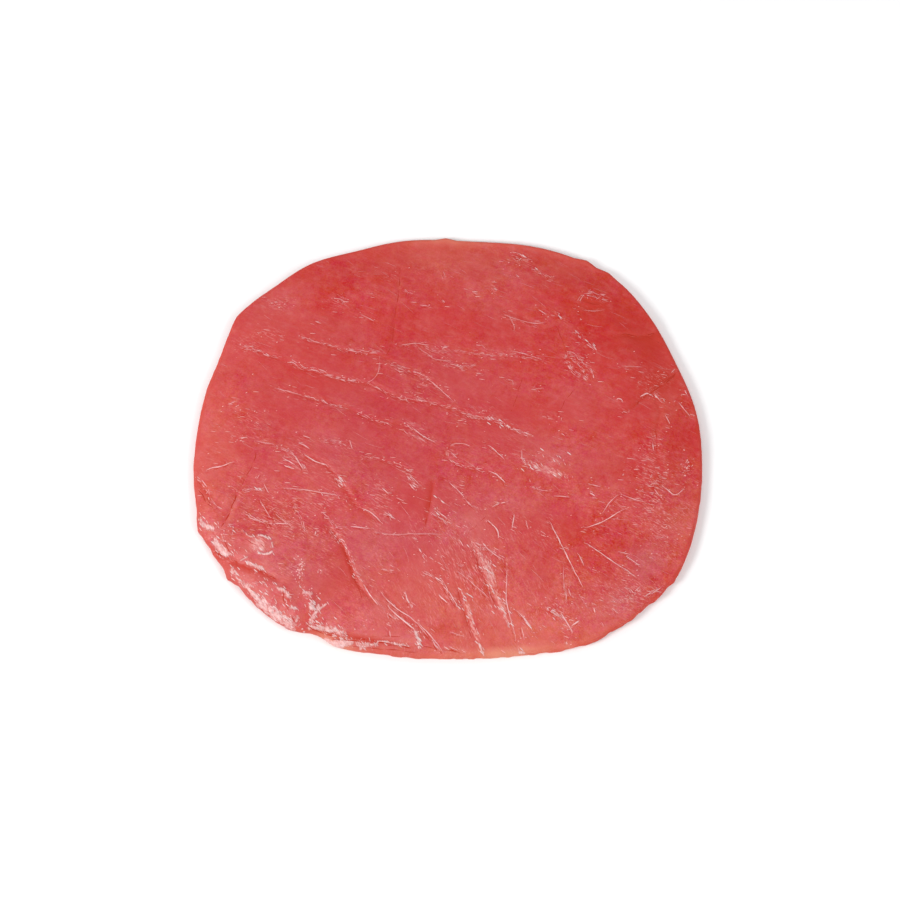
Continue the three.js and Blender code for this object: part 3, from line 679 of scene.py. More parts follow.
def top_height(x, y):
    """Height of the creased upper face, before the rim rolls it down."""
    height = patched(x, y, SWELLS, THICKNESS)
    for length, bearing, rise, phase in WAVES:
        travel = (x * math.cos(math.radians(bearing)) + y * math.sin(math.radians(bearing))) / length
        height += rise * np.sin(2 * np.pi * travel + phase)
    for depth, width, lip, reach, corners in CREASES:
        near, distance, fade = along_path(corners, x, y, CUTOFF * reach + width)
        groove = bell(distance / width)
        raised = np.where(distance > 0, lip * (1 - groove) * np.exp(-np.abs(distance) / reach), 0)
        height[near] += fade * (raised - depth * groove)
    bearing, inset = rim_place(x, y)
    thin = THINNING * (1 - softness(bearing)) * bell(inset / THINNING_REACH)
    return np.minimum((height + fine_relief(x, y)) * (1 - thin), CEILING)


def skin_height(x, y):
    """Height of the meat's upper skin anywhere, its rolled rim included."""
    bearing, inset = rim_place(x, y)
    down = np.clip(1 - inset / roll_width(bearing), 0, 1)
    return top_height(x, y) * (WAIST + (1 - WAIST) * np.sqrt(1 - down * down))


def zip_rings(first, second):
    """Triangles between two rings of vertex numbers, each evenly spaced from bearing 0."""
    faces = []
    i = j = 0
    while i < len(first) or j < len(second):
        here, there = first[i % len(first)], second[j % len(second)]
        if i == len(first) or (j < len(second) and (i + 1) * len(second) > (j + 1) * len(first)):
            j += 1
            ahead = second[j % len(second)]
        else:
            i += 1
            ahead = first[i % len(first)]
        if ahead not in (here, there):
            faces.append((here, there, ahead))
    return faces


# The upper face is stepped about as finely as the render shows, the hidden underside coarsely
FACE_RINGS = 144
SECTORS = 8
ROLL_STEPS = 7
TUCK_STEPS = 2
UNDER_RINGS = 24


def make_slice():
    """The slice as rings of points, from the middle over the face and the rim to the middle below."""
    points, levels, rings = [], [], []

    def add_ring(count, radius_at, level=1.0):
        """Adds an evenly spaced ring, whose level is 1 on the upper skin and 0 on the table."""
        bearing = np.arange(count) * 360 / count
        radius = radius_at(bearing)
        rings.append(range(len(points), len(points) + count))
        points.extend(zip(radius * np.cos(np.radians(bearing)), radius * np.sin(np.radians(bearing))))
        levels.extend([level] * count)

    for k in range(FACE_RINGS + 1):
        add_ring(max(1, SECTORS * k), lambda b: k / FACE_RINGS * (edge_radius(b) - roll_width(b)))
    around = SECTORS * FACE_RINGS
    for step in range(1, ROLL_STEPS + 1):
        turn = math.pi / 2 * (1 - step / ROLL_STEPS)
        add_ring(around, lambda b: edge_radius(b) - roll_width(b) * (1 - math.cos(turn)))
    for step in range(1, TUCK_STEPS + 1):
        turn = math.pi / 2 * step / TUCK_STEPS
        add_ring(around, lambda b: edge_radius(b) - TUCK * (1 - math.cos(turn)), 1 - math.sin(turn))
    for k in range(UNDER_RINGS, -1, -1):
        add_ring(max(1, SECTORS * k), lambda b: k / (UNDER_RINGS + 1) * (edge_radius(b) - TUCK), 0.0)

    x, y = np.array(points).T
    bearing, inset = rim_place(x, y)
    radius = np.hypot(x, y)
    uneven = RIM_RELIEF * lumps(bearing, radius, RIM_RELIEF_SPACING, 18) * bell(inset / RIM_RELIEF_REACH)
    shrunk = 1 - uneven / np.maximum(radius, 1)
    x, y = x * shrunk, y * shrunk
    levels = np.array(levels)
    height = np.where(levels == 1, skin_height(x, y), top_height(x, y) * WAIST * levels)
    low, high = np.array(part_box("veal_cutlet")) / MM
    placed = np.clip(np.column_stack([x, y, height]), low, high)
    faces = [face for first, second in zip(rings, rings[1:]) for face in zip_rings(first, second)]
    piece = new_piece("meat_slice", placed, faces)
    piece.data.shade_smooth()
    return piece


def store(piece, name, values):
    """Stores a value for each point of a piece, for its material or its tree."""
    layer = piece.data.attributes.new(name, "FLOAT", "POINT")
    layer.data.foreach_set("value", np.asarray(values, np.float32))


# A pale veil, partly tissue under the surface and partly painted sheen, lies over the whole face: how much in
# the middle, and how much more for each mm along X and Y
VEIL_AND_SHEEN_MIDDLE = 0.28
VEIL_AND_SHEEN_SLOPE = (-0.002, -0.003)
# Random lumps, as in the fine relief, that make the veil, the warmth, the fat, the strokes of pale fibre,
# the colour of the rim's side and the coarseness of the grain uneven
VEIL_AND_SHEEN_LUMPS = [(0.1, 14, 21), (0.12, 6, 22, -30, 1.8)]
WARMTH_LUMPS = [(0.1, 11, 23)]
FAT_LUMPS = [(0.4, 2, 35)]
STROKE_LUMPS = [(0.4, 5, 34)]
SIDE_LUMPS = [(0.35, 2.4, 36)]
COARSE_LUMPS = [(0.6, 9, 37)]
# How much warmer the thin rim looks, and how far in
THIN_RIM_WARMTH = 0.7
THIN_RIM_REACH = 1.6
# How much painted shade reddens a crease for each mm of its depth, how far to its right that is, and how wide
CREASE_SHADE = 1.2
CREASE_SHADE_SHIFT = 0.3
CREASE_SHADE_BAND = 0.9
# The same painted shade at the foot of each lip, for each mm of the lip, how far it fades to the right and to
# the left, and how far it is followed
LIP_FOOT_SHADE = 1.3
LIP_SHADE_FADES = (2.6, 0.4)
CREASE_SHADE_REACH = 6
# How deep a red the side of the rim is, and how far in
SIDE_REDNESS = 0.85
SIDE_REACH = 1.5
# Loose flecks: how many, above which level of their lumps, the lumps' size, and where they end. Each end
# here is the middle of a soft step along Y and its spread.
LOOSE_FLECKS = 0.25
LOOSE_LEVEL = 0.3
LOOSE_SIZE = 4
LOOSE_END = (5, 16)
# Flecks beside each thread: how many, how far off, and how far they are followed
THREAD_FLECKS = 0.2
THREAD_FLECK_SPREAD = 1.5
THREAD_FLECK_REACH = 4
# How densely pale strokes, partly fibres and partly painted highlight, cover the front, and where that ends
STROKES = 0.2
STROKES_END = (-12, 9)
# How coarse the grain is at the back and how much more at the front, where that ends, and its evenness
COARSENESS = (0.55, 0.45)
COARSE_END = (-10, 8)
COARSE_EVENNESS = 0.85
# How far in the firm rim is dried and dull
DULL_REACH = 2.5
# The film spreads this much wider than its patches, and shreds lie on the sheets half as thickly as on it
FILM_SPREAD = 1.2
SHREDS_ON_SHEETS = 0.5


def paint_slice(piece):
    """Stores for each point how veiled, warm, deep, filmed and so on the meat is there, from 0 to 1."""
    points = np.empty(len(piece.data.vertices) * 3)
    piece.data.vertices.foreach_get("co", points)
    x, y, z = points.reshape(-1, 3).T / MM
    bearing, inset = rim_place(x, y)
    on_face = (inset > FACE_INSET) & (z > FACE_LEVEL)

    veil_and_sheen = VEIL_AND_SHEEN_MIDDLE + VEIL_AND_SHEEN_SLOPE[0] * x + VEIL_AND_SHEEN_SLOPE[1] * y + relief(x, y, VEIL_AND_SHEEN_LUMPS)
    thin = sum(bell(turn_between(bearing, at) / spread) for at, spread in THIN_RIM)
    warmth = patched(x, y, WARMTHS, relief(x, y, WARMTH_LUMPS))
    warmth += THIN_RIM_WARMTH * thin * bell(inset / THIN_RIM_REACH)
    fat = sum(strength * bell(turn_between(bearing, at) / spread) for at, spread, strength in FAT_RIM)
    fat *= bell(inset / FAT_DEPTH) * (1 + relief(x, y, FAT_LUMPS))

    # Painted shade: the meat is painted a deeper red in each crease and at the foot of its lip, where shade
    # falls
    deep = patched(x, y, DEEP_REDS_AND_SHADES)
    for depth, _, lip, _, corners in CREASES:
        near, distance, fade = along_path(corners, x, y, CREASE_SHADE_REACH)
        groove = max(depth, 0) * bell((distance + CREASE_SHADE_SHIFT) / CREASE_SHADE_BAND)
        foot_shade = np.where(distance < 0, np.exp(-np.abs(distance) / LIP_SHADE_FADES[0]), bell(distance / LIP_SHADE_FADES[1]))
        deep[near] += fade * (CREASE_SHADE * groove + LIP_FOOT_SHADE * lip * foot_shade)

    sheet = np.zeros_like(x)
    for half_width, strength, corners in SHEETS:
        near, distance, fade = along_path(corners, x, y, CUTOFF * half_width)
        sheet[near] = np.maximum(sheet[near], strength * fade * bell(distance / half_width))
    fascia_film_and_highlight = np.zeros_like(x)
    for half_width, corners in FASCIA_AND_HIGHLIGHTS:
        near, distance, _ = along_path(corners, x, y, CUTOFF * half_width)
        fascia_film_and_highlight[near] = np.maximum(fascia_film_and_highlight[near], bell(distance / (FILM_SPREAD * half_width)))
    shreds = np.maximum(fascia_film_and_highlight, SHREDS_ON_SHEETS * sheet)

    # Loose flecks lie here and there over the front, and along every thread
    loose = LOOSE_FLECKS * np.maximum(0, lumps(x, y, LOOSE_SIZE, 33) - LOOSE_LEVEL) * soft_step(y, *LOOSE_END)
    fleck = patched(x, y, FLECKED, loose)
    for _, _, corners in THREADS:
        near, distance, _ = along_path(corners, x, y, THREAD_FLECK_REACH)
        fleck[near] += THREAD_FLECKS * bell(distance / THREAD_FLECK_SPREAD)
    # Pale strokes, partly painted highlight, follow the flecks and cover the front
    strokes_and_glints = fleck + (STROKES + relief(x, y, STROKE_LUMPS)) * soft_step(y, *STROKES_END)
    side = (1 - inset / SIDE_REACH) * (SIDE_REDNESS + relief(bearing, z, SIDE_LUMPS))
    coarse = COARSENESS[0] + COARSENESS[1] * soft_step(y, *COARSE_END)
    coarse *= COARSE_EVENNESS + relief(x, y, COARSE_LUMPS)

    for name, values in {
            "veil_and_sheen": patched(x, y, VEILS_AND_SHEEN, veil_and_sheen), "warmth": warmth, "dusk": patched(x, y, DUSKS), "fat": fat,
            "deep": deep, "sheet": sheet * (z > SKIN_LEVEL), "fascia_film_and_highlight": fascia_film_and_highlight * (z > SKIN_LEVEL),
            "steep": steepness(x, y), "fleck": fleck * on_face, "strokes_and_glints": strokes_and_glints,
            "shreds": shreds * on_face, "foam": patched(x, y, FOAM) * on_face, "side": side,
            "coarse": coarse, "dull": (1 - softness(bearing)) * bell(inset / DULL_REACH)}.items():
        store(piece, name, np.clip(values, 0, 1))


# Size, strength and drift of hue of each grain in the meat's colour. Fibres, some full of juice and some
# drained, are under 0.1 mm thick and too fine to show here, so each grain and streak is a bundle of them.
GRAINS = [(0.45, 0.1, 0.5), (1.6, 0.065, 0.45), (4.5, 0.08, 0.3)]
MEAT_ROUGHNESS = 0.42
FILM_ROUGHNESS = 0.16
DRIED_ROUGHNESS = 0.4
RIDGE_HEIGHT = 0.14


# Raw veal: wet lean meat, pale coral red, soft and faintly see-through. Light sinks a millimetre
# or two into it, so its colour is saturated and its shadows glow, and a film of juice lies on top.
def raw_veal():
    material, tree = new_material("raw_veal")
    place = add_node(tree, "ShaderNodeTexCoord").outputs["Object"]
    painted = {name: add_node(tree, "ShaderNodeAttribute", {"attribute_name": name}).outputs["Fac"]
               for name in ("veil_and_sheen", "warmth", "dusk", "deep", "side", "fat", "sheet", "fascia_film_and_highlight", "steep",
                            "strokes_and_glints", "coarse", "dull")}
    mottles = {size: add_node(tree, "ShaderNodeTexNoise", inputs={
        "Vector": place, "Scale": 1 / (size * MM), "Detail": 3.0, "Roughness": 0.55})
        for size in (0.45, 1.6, 2.2, 2.6, 4.5)}

    def streaks(bearing, width, stretch):
        """Noise in streaks of that width in millimetres, longer along the bearing by the stretch."""
        flow = add_node(tree, "ShaderNodeMapping", {"vector_type": "TEXTURE"}, {
            "Vector": place, "Rotation": (0, 0, math.radians(bearing)), "Scale": (stretch, 1, 1)})
        return add_node(tree, "ShaderNodeTexNoise", inputs={
            "Vector": flow, "Scale": 1 / (width * MM), "Detail": 3.0, "Roughness": 0.6})

    def fibres(flat, steep, width, stretch):
        """Streaks that follow the fibres, from the bearing where they lie flat to the steep one."""
        lying, hanging = streaks(flat, width, stretch), streaks(steep, width, stretch)
        return add_node(tree, "ShaderNodeMix", inputs={"Factor": painted["steep"], "A": lying, "B": hanging})

    def weighed(*parts, base=0.0):
        """The sum of patterns, each times its weight, on a base."""
        for pattern, weight in parts:
            base = add_node(tree, "ShaderNodeMath", {"operation": "MULTIPLY_ADD"}, {
                0: pattern, 1: weight, 2: base})
        return base

    def tinted(meat, colour, pattern, low=0.0, high=1.0, most=1.0):
        """The meat under a colour that fades in from a low to a high value of the pattern."""
        share = add_node(tree, "ShaderNodeMapRange", inputs={
            "Value": pattern, "From Min": low, "From Max": high, "To Max": most})
        return add_node(tree, "ShaderNodeMix", {"data_type": "RGBA"}, {
            "Factor": share, "A": meat, "B": linear_colour(colour)})

    # Lean red, paler under the veil of tissue and the painted sheen
    meat = tinted(linear_colour("BD2A26"), "C96260", painted["veil_and_sheen"])
    meat = tinted(meat, "CE5F50", painted["warmth"])
    meat = tinted(meat, "BC2C24", fibres(-24, -58, 3.2, 2.6), 0.5, 0.7, 0.35)
    meat = tinted(meat, "CC6C66", mottles[2.6], 0.52, 0.7, 0.22)
    meat = tinted(meat, "CE706B", fibres(-24, -58, 0.9, 4), 0.5, 0.8, 0.22)
    meat = tinted(meat, "AE4658", painted["dusk"])
    for size, strength, hue in GRAINS:
        speckle = add_node(tree, "ShaderNodeMix", {"data_type": "RGBA"}, {
            "Factor": hue, "A": mottles[size].outputs["Fac"], "B": mottles[size].outputs["Color"]})
        contrast = add_node(tree, "ShaderNodeMath", {"operation": "MULTIPLY"}, {
            0: painted["coarse"], 1: strength})
        meat = add_node(tree, "ShaderNodeMix", {"data_type": "RGBA", "blend_type": "LINEAR_LIGHT"}, {
            "Factor": contrast, "A": meat, "B": speckle})
    # Deeper red: partly the meat's own, partly painted shade in the creases, at the feet of their lips and
    # beside the flap
    meat = tinted(meat, "BA2E1D", painted["deep"])
    meat = tinted(meat, "C23A2A", painted["side"])
    meat = tinted(meat, "E0A080", painted["fat"])

    # Drained fibres, whose paleness is partly painted highlight, are stroked over the face, and torn sheets
    # of tissue lie over them
    meat = tinted(meat, "DE908C", fibres(-27, -62, 0.32, 5), 0.52, 0.66, painted["strokes_and_glints"])
    bared = weighed((fibres(-35, -66, 0.4, 3), 3.0), (painted["sheet"], 1.3))
    meat = tinted(meat, "E0A29C", bared, 2.35, 3.1, 0.9)
    # The fascia on the front left rim is painted pale: partly its own colour, partly painted highlight of the
    # wet rim
    torn = weighed((streaks(-66, 0.5, 3), 2.4), (mottles[2.2], 1.6), (painted["fascia_film_and_highlight"], 2.2))
    fascia_film_and_highlight = add_node(tree, "ShaderNodeMapRange", inputs={
        "Value": torn, "From Min": 3.5, "From Max": 4.1, "To Max": 0.9})
    skin_and_highlight = tinted(linear_colour("DC9C98"), "F0C8C5", streaks(-66, 0.7, 2.5), 0.35, 0.65)
    meat = add_node(tree, "ShaderNodeMix", {"data_type": "RGBA"}, {"Factor": fascia_film_and_highlight, "A": meat, "B": skin_and_highlight})

    # The film stands up from the meat, and the fibres show in ridges, most under strokes and film
    ridged = weighed((painted["strokes_and_glints"], 1.5), (painted["fascia_film_and_highlight"], 1.5), base=0.5)
    raised = weighed((fibres(-27, -62, 0.6, 4), ridged), base=fascia_film_and_highlight)
    bump = add_node(tree, "ShaderNodeBump", inputs={
        "Height": raised, "Strength": 1.0, "Distance": RIDGE_HEIGHT * MM})
    gloss = add_node(tree, "ShaderNodeMapRange", inputs={
        "Value": fascia_film_and_highlight, "To Min": MEAT_ROUGHNESS, "To Max": FILM_ROUGHNESS})
    surface = add_node(tree, "ShaderNodeBsdfPrincipled", inputs={
        "Base Color": meat, "Roughness": weighed((painted["dull"], DRIED_ROUGHNESS), base=gloss),
        "Normal": bump, "IOR": 1.38,
        "Subsurface Weight": 0.2, "Subsurface Radius": (1.0, 0.3, 0.22), "Subsurface Scale": 0.8 * MM})
    add_node(tree, "ShaderNodeOutputMaterial", inputs={"Surface": surface})
    return material


meat_slice = make_slice()
paint_slice(meat_slice)
meat_slice.data.materials.append(raw_veal())
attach(meat_slice, "root")
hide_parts("veal_cutlet")


# The threads of connective tissue, partly painted highlight.
# Fine strands of collagen run through the muscle, pale, wet and tough. They lie along the creases of
# the cut face and show in short lengths, where the knife left them standing. Their paleness partly
# stands for the glints along wet ridges of fibre, as painted highlight.
THREAD_STEP = 0.35
STRAND_GAP = 0.36
# A thread on its own runs smoothly and shows in long lengths; those in a bundle are finer and more crooked.
# How far each wanders, the share of its half width, the lengths that show, and its tone
SINGLE = (0.12, (0.65, 0.95), (14, 40), (0.55, 1))
BUNDLE = (0.28, (0.28, 0.6), (0.8, 3.4), (0.4, 1))
WANDER_LENGTH = 1.6
HIDDEN_LENGTH = (0.1, 0.5)
# Short ends that fray off to both sides: how many for each mm, how far off, their turn, and their sizes
FRAYS = 0.7
FRAY_REACH = 0.35
FRAY_TURN = math.radians(20)
FRAY_LENGTH = (0.4, 1.8)
FRAY_HALF_WIDTH = (0.05, 0.09)
FRAY_TONE = (0, 0.7)
# Single fine strands all over the face: number, sizes, tone, their turn from the fibres, and their curl
LONE_STRANDS = 260
LONE_LENGTH = (2, 7)
LONE_HALF_WIDTH = (0.035, 0.06)
LONE_TONE = (0, 0.4)
LONE_TURN = math.radians(11)
LONE_CURL = math.radians(12)
# The bearing of the fibres where they lie flat and where they run steeply
FLAT_BEARING = math.radians(-26)
STEEP_BEARING = math.radians(-60)
# How much a thread swells and thins along its length, and over what length
SWELLING = 0.55
SWELLING_LENGTH = 1.2
# The share of its paleness that a thread loses towards the back, and how softly
BACK_DULLING = 0.45
BACK_SOFTNESS = 9
# No thread lies nearer than this to the cut edge
RIM_MARGIN = 1
# How deep a thread is sunk in the skin, in half widths, how many sides it has, and how blunt its ends are
THREAD_SINK = 0.3
THREAD_SIDES = 5
THREAD_FULLNESS = 0.6


def broken_stretches(rng, steps, shown, hidden):
    """The first and last step of each stretch of a thread that shows, with hidden stretches between."""
    start = round(rng.uniform(*hidden) / THREAD_STEP)
    while start + 2 <= steps:
        stop = min(steps, start + round(rng.uniform(*shown) / THREAD_STEP))
        yield start, stop
        start = stop + round(rng.uniform(*hidden) / THREAD_STEP)


def thread_course(corners):
    """Points at each step along a path, with the directions ahead and to the left there."""
    length = np.linalg.norm(np.diff(np.array(corners, float), axis=0), axis=1).sum()
    course = smooth_path(corners, max(4, round(length / THREAD_STEP)))
    ahead = np.gradient(course, axis=0)
    ahead /= np.linalg.norm(ahead, axis=1)[:, None]
    return course, ahead, np.column_stack([-ahead[:, 1], ahead[:, 0]])


def wander(course, line, length, seed):
    """A smooth random shift from -1 to 1 at each point of a course, another one for each line."""
    travelled = np.arange(len(course)) * THREAD_STEP
    return lumps(travelled, np.full(len(course), line), length, seed)[:, None]


def thread_runs():
    """The plan, half width and tone of every length of thread that shows."""
    rng = np.random.default_rng(41)
    for half_width, strands, corners in THREADS:
        course, ahead, left = thread_course(corners)
        steps = len(course) - 1
        wandering, thickness, shown, tone = SINGLE if strands == 1 else BUNDLE
        for strand in range(strands):
            aside = (strand - (strands - 1) / 2) * STRAND_GAP
            shift = aside + wandering * wander(course, rng.uniform(0, 400), WANDER_LENGTH, 42)
            for start, stop in broken_stretches(rng, steps, shown, HIDDEN_LENGTH):
                yield ((course + left * shift)[start:stop + 1], half_width * rng.uniform(*thickness),
                       rng.uniform(*tone))
        for _ in range(round(steps * THREAD_STEP * FRAYS * strands / 2)):
            at = rng.integers(steps + 1)
            turn = rng.normal(0, FRAY_TURN)
            away = ahead[at] * math.cos(turn) + left[at] * math.sin(turn)
            start = course[at] + left[at] * rng.normal(0, FRAY_REACH * math.sqrt(strands))
            reach = np.linspace(0, rng.uniform(*FRAY_LENGTH), 4)[:, None]
            yield start + away * reach, rng.uniform(*FRAY_HALF_WIDTH), rng.uniform(*FRAY_TONE)
    for _ in range(LONE_STRANDS):
        x, y = rng.uniform(-LENGTH / 2, LENGTH / 2), rng.uniform(-BREADTH / 2, BREADTH / 2)
        steep = steepness(x, y)
        steps = math.ceil(rng.uniform(*LONE_LENGTH) / THREAD_STEP)
        start = FLAT_BEARING * (1 - steep) + STEEP_BEARING * steep + rng.normal(0, LONE_TURN)
        heading = start + np.linspace(0, rng.normal(0, LONE_CURL), steps)
        ahead = np.column_stack([np.cos(heading), np.sin(heading)]) * THREAD_STEP
        yield (x, y) + np.cumsum(ahead, axis=0), rng.uniform(*LONE_HALF_WIDTH), rng.uniform(*LONE_TONE)


def run_paths(name, runs, sink):
    """A mesh of edges only, that follows each run over the skin, with its half width and tone."""
    plans, half_widths, tones, edges = [], [], [], []
    first = 0
    for plan, half_width, tone in runs:
        plan = plan[rim_place(*plan.T)[1] > RIM_MARGIN]
        if len(plan) < 3:
            continue
        x, y = plan.T
        plans.append(plan)
        half_widths.extend(half_width * (1 + SWELLING * lumps(x, y, SWELLING_LENGTH, 45)))
        tones.extend(tone * (1 - BACK_DULLING * soft_step(-y, 0, BACK_SOFTNESS)))
        edges.extend((first + i, first + i + 1) for i in range(len(plan) - 1))
        first += len(plan)
    x, y = np.vstack(plans).T
    half_widths = np.array(half_widths)
    paths = new_piece(name, np.column_stack([x, y, skin_height(x, y) - sink * half_widths]), [], edges)
    store(paths, "half_width", half_widths * MM)
    store(paths, "tone", tones)
    return paths


def new_tree(name, **inputs):
    """A Geometry Nodes tree with one geometry in and out, and the named inputs of each kind."""
    tree = bpy.data.node_groups.new(name, "GeometryNodeTree")
    tree.interface.new_socket("Geometry", in_out="INPUT", socket_type="NodeSocketGeometry")
    tree.interface.new_socket("Geometry", in_out="OUTPUT", socket_type="NodeSocketGeometry")
    for kind, labels in inputs.items():
        for label in labels:
            tree.interface.new_socket(label, in_out="INPUT", socket_type=f"NodeSocket{kind}")
    return tree, tree.nodes.new("NodeGroupInput").outputs


def end_tree(tree, geometry, material):
    """Makes the instances real and gives them their material, as the tree's last steps."""
    real = add_node(tree, "GeometryNodeRealizeInstances", inputs={"Geometry": geometry})
    finished = add_node(tree, "GeometryNodeSetMaterial", inputs={"Geometry": real, "Material": material})
    add_node(tree, "NodeGroupOutput", inputs={"Geometry": finished})
    return tree


def grown_piece(name, ground, tree, settings):
    """The plain mesh that a tree makes from a ground object, which goes afterwards."""
    grower = ground.modifiers.new("grower", "NODES")
    grower.node_group = tree
    for item in tree.interface.items_tree:
        if item.in_out == "INPUT" and item.name in settings:
            grower[item.identifier] = settings[item.name]
    grown = ground.evaluated_get(bpy.context.evaluated_depsgraph_get())
    mesh = bpy.data.meshes.new_from_object(grown)
    bpy.data.objects.remove(ground)
    mesh.name = name
    piece = bpy.data.objects.new(name, mesh)
    bpy.context.collection.objects.link(piece)
    return piece


def toned_material(name, dark, pale, roughness, ior, glow_depth=0, rareness=1):
    """A wet material, from dark to pale by each grain's tone, into which light sinks to a depth."""
    material, tree = new_material(name)
    tone = add_node(tree, "ShaderNodeAttribute", {"attribute_name": "tone"}).outputs["Fac"]
    paleness = add_node(tree, "ShaderNodeMath", {"operation": "POWER"}, {0: tone, 1: rareness})
    colour = add_node(tree, "ShaderNodeMix", {"data_type": "RGBA"}, {
        "Factor": paleness, "A": linear_colour(dark), "B": linear_colour(pale)})
    surface = add_node(tree, "ShaderNodeBsdfPrincipled", inputs={
        "Base Color": colour, "Roughness": roughness, "IOR": ior, "Subsurface Radius": (1.0, 0.5, 0.45),
        "Subsurface Weight": 0.3 if glow_depth else 0.0, "Subsurface Scale": glow_depth * MM})
    add_node(tree, "ShaderNodeOutputMaterial", inputs={"Surface": surface})
    return material


def thread_tree(material):
    """Turns each run of edges into a round thread that tapers to both ends."""
    tree, given = new_tree(f"{material.name}_thread_maker", Int=["Sides"], Float=["Fullness"])
    curve = add_node(tree, "GeometryNodeMeshToCurve", inputs={"Mesh": given["Geometry"]})
    share = add_node(tree, "GeometryNodeSplineParameter")
    turn = add_node(tree, "ShaderNodeMath", {"operation": "MULTIPLY"}, {0: share, 1: math.pi})
    swell = add_node(tree, "ShaderNodeMath", {"operation": "SINE"}, {0: turn})
    taper = add_node(tree, "ShaderNodeMath", {"operation": "POWER"}, {0: swell, 1: given["Fullness"]})
    width = add_node(tree, "GeometryNodeInputNamedAttribute", {"data_type": "FLOAT"}, {"Name": "half_width"})
    scale = add_node(tree, "ShaderNodeMath", {"operation": "MULTIPLY"}, {0: taper, 1: width})
    circle = add_node(tree, "GeometryNodeCurvePrimitiveCircle", inputs={
        "Resolution": given["Sides"], "Radius": 1.0})
    thread = add_node(tree, "GeometryNodeCurveToMesh", inputs={
        "Curve": curve, "Profile Curve": circle, "Scale": scale, "Fill Caps": True})
    smooth = add_node(tree, "GeometryNodeSetShadeSmooth", inputs={"Geometry": thread})
    return end_tree(tree, smooth, material)


# Collagen: whitish, wet and a little see-through, so the red of the meat tints it pink; its paleness is
# partly painted highlight of wet ridges
def collagen_and_glints():
    return toned_material("collagen_and_glints", "CC6466", "F2C2C2", roughness=0.25, ior=1.42, glow_depth=0.4)


connective_threads_and_glints = grown_piece(
    "connective_threads_and_glints", run_paths("thread_paths", thread_runs(), THREAD_SINK), thread_tree(collagen_and_glints()),
    {"Sides": THREAD_SIDES, "Fullness": THREAD_FULLNESS})
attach(connective_threads_and_glints, "root")


# Painted shade in the furrows.
# Thin dark red lines painted where shade falls in the fine furrows of the face and on the shaded side of the
# threads.
# The longest ones lie under the flap, along the folds of the rim and beside the threads.

# Half width at most and path of each furrow
FURROWS = [
    (0.13, [(-14.4, 55.4), (-14.8, 45.7), (-15.8, 38.2), (-16.7, 29.7), (-18.6, 25.5)]),
    (0.13, [(-56, -4), (-57, -8), (-59, -11.5), (-60.5, -15.5)]),
    (0.3, [(-61.5, -16.8), (-62.5, -20), (-64, -24), (-66, -27.5)]),
    (0.28, [(-69.5, -31.5), (-66, -35), (-62, -37), (-57, -39.6), (-53, -41), (-49, -43.3)]),
    (0.12, [(-28.3, -39), (-26.8, -43), (-25.4, -46.5), (-24.6, -49)]),
    (0.15, [(-5, -17), (-5.3, -21), (-6.3, -25), (-6.8, -27.5)]),
    (0.12, [(7.6, -35), (9.5, -40.5), (11.5, -45.5), (13.7, -50)]),
    (0.13, [(2.5, -45), (3.8, -50), (5.3, -55), (7, -60)]),
    (0.36, [(68.4, 22), (64.7, 18.2), (58.7, 13.5), (54.7, 9.8)]),
    (0.28, [(50.5, 32.3), (53.2, 32.9), (57.2, 32.4), (62.2, 34)]),
    (0.12, [(57.2, 32.9), (61.1, 31.9), (65, 29.2)]),
    (0.1, [(31.9, 36.1), (33.6, 31.9), (35.1, 26.4)]),
    (0.13, [(61, 3), (61.3, 0), (61, -4)]),
    (0.12, [(62, -11), (61.5, -13)]),
    (0.13, [(40, 43.6), (42, 43), (45, 42.6), (47, 43.4)]),
    (0.12, [(37.3, 15), (34.5, 11.5), (32.1, 6.7)]),
    (0.12, [(22.1, 19.2), (20.6, 14), (18.6, 8.3)]),
    (0.09, [(11.5, -24), (9.5, -25.3), (8, -27.3), (6.5, -28), (5.3, -30.5)]),
    (0.2, [(-41.5, -55.5), (-36, -58.3), (-30, -59.4), (-20, -61), (-10, -62.8)]),
    (0.14, [(-38, -59.2), (-31, -60.3), (-24, -60.8), (-15, -61.4)]),
    (0.12, [(-37, -57.6), (-29, -59), (-21, -59.5), (-13, -59.6)]),
    (0.12, [(-33, -61.8), (-25, -62.4), (-17, -63), (-9, -63.9)]),
    (0.1, [(-18, -62), (-10, -62), (-2, -63), (5, -64.2)]),
    (0.16, [(-75, -12.5), (-72, -16.5), (-70.5, -19.5), (-68, -21.5)]),
    (0.14, [(-59.5, -30.5), (-56.5, -32.3), (-54, -32.8), (-52, -35.3)]),
    (0.16, [(-64.8, -31), (-63.8, -33.5), (-62.5, -35)]),
    (0.15, [(-47.5, -45), (-46.8, -50), (-43.5, -56)]),
]
FURROW_WANDER = 0.15
FURROW_WANDER_LENGTH = 2
FURROW_THICKNESS = (0.7, 1)
FURROW_SHOWN = (3, 9)
FURROW_HIDDEN = (0, 0.3)
FURROW_TONE = (0, 0.4)
# How far to the right of each bundle of threads its painted shade lies, how thick and in what lengths
BESIDE_THREADS = 0.55
BESIDE_HALF_WIDTH = (0.06, 0.11)
BESIDE_SHOWN = (1, 4)
BESIDE_HIDDEN = (0.2, 1.2)
BESIDE_TONE = (0.2, 1)
FURROW_SHADE_SINK = 0.4


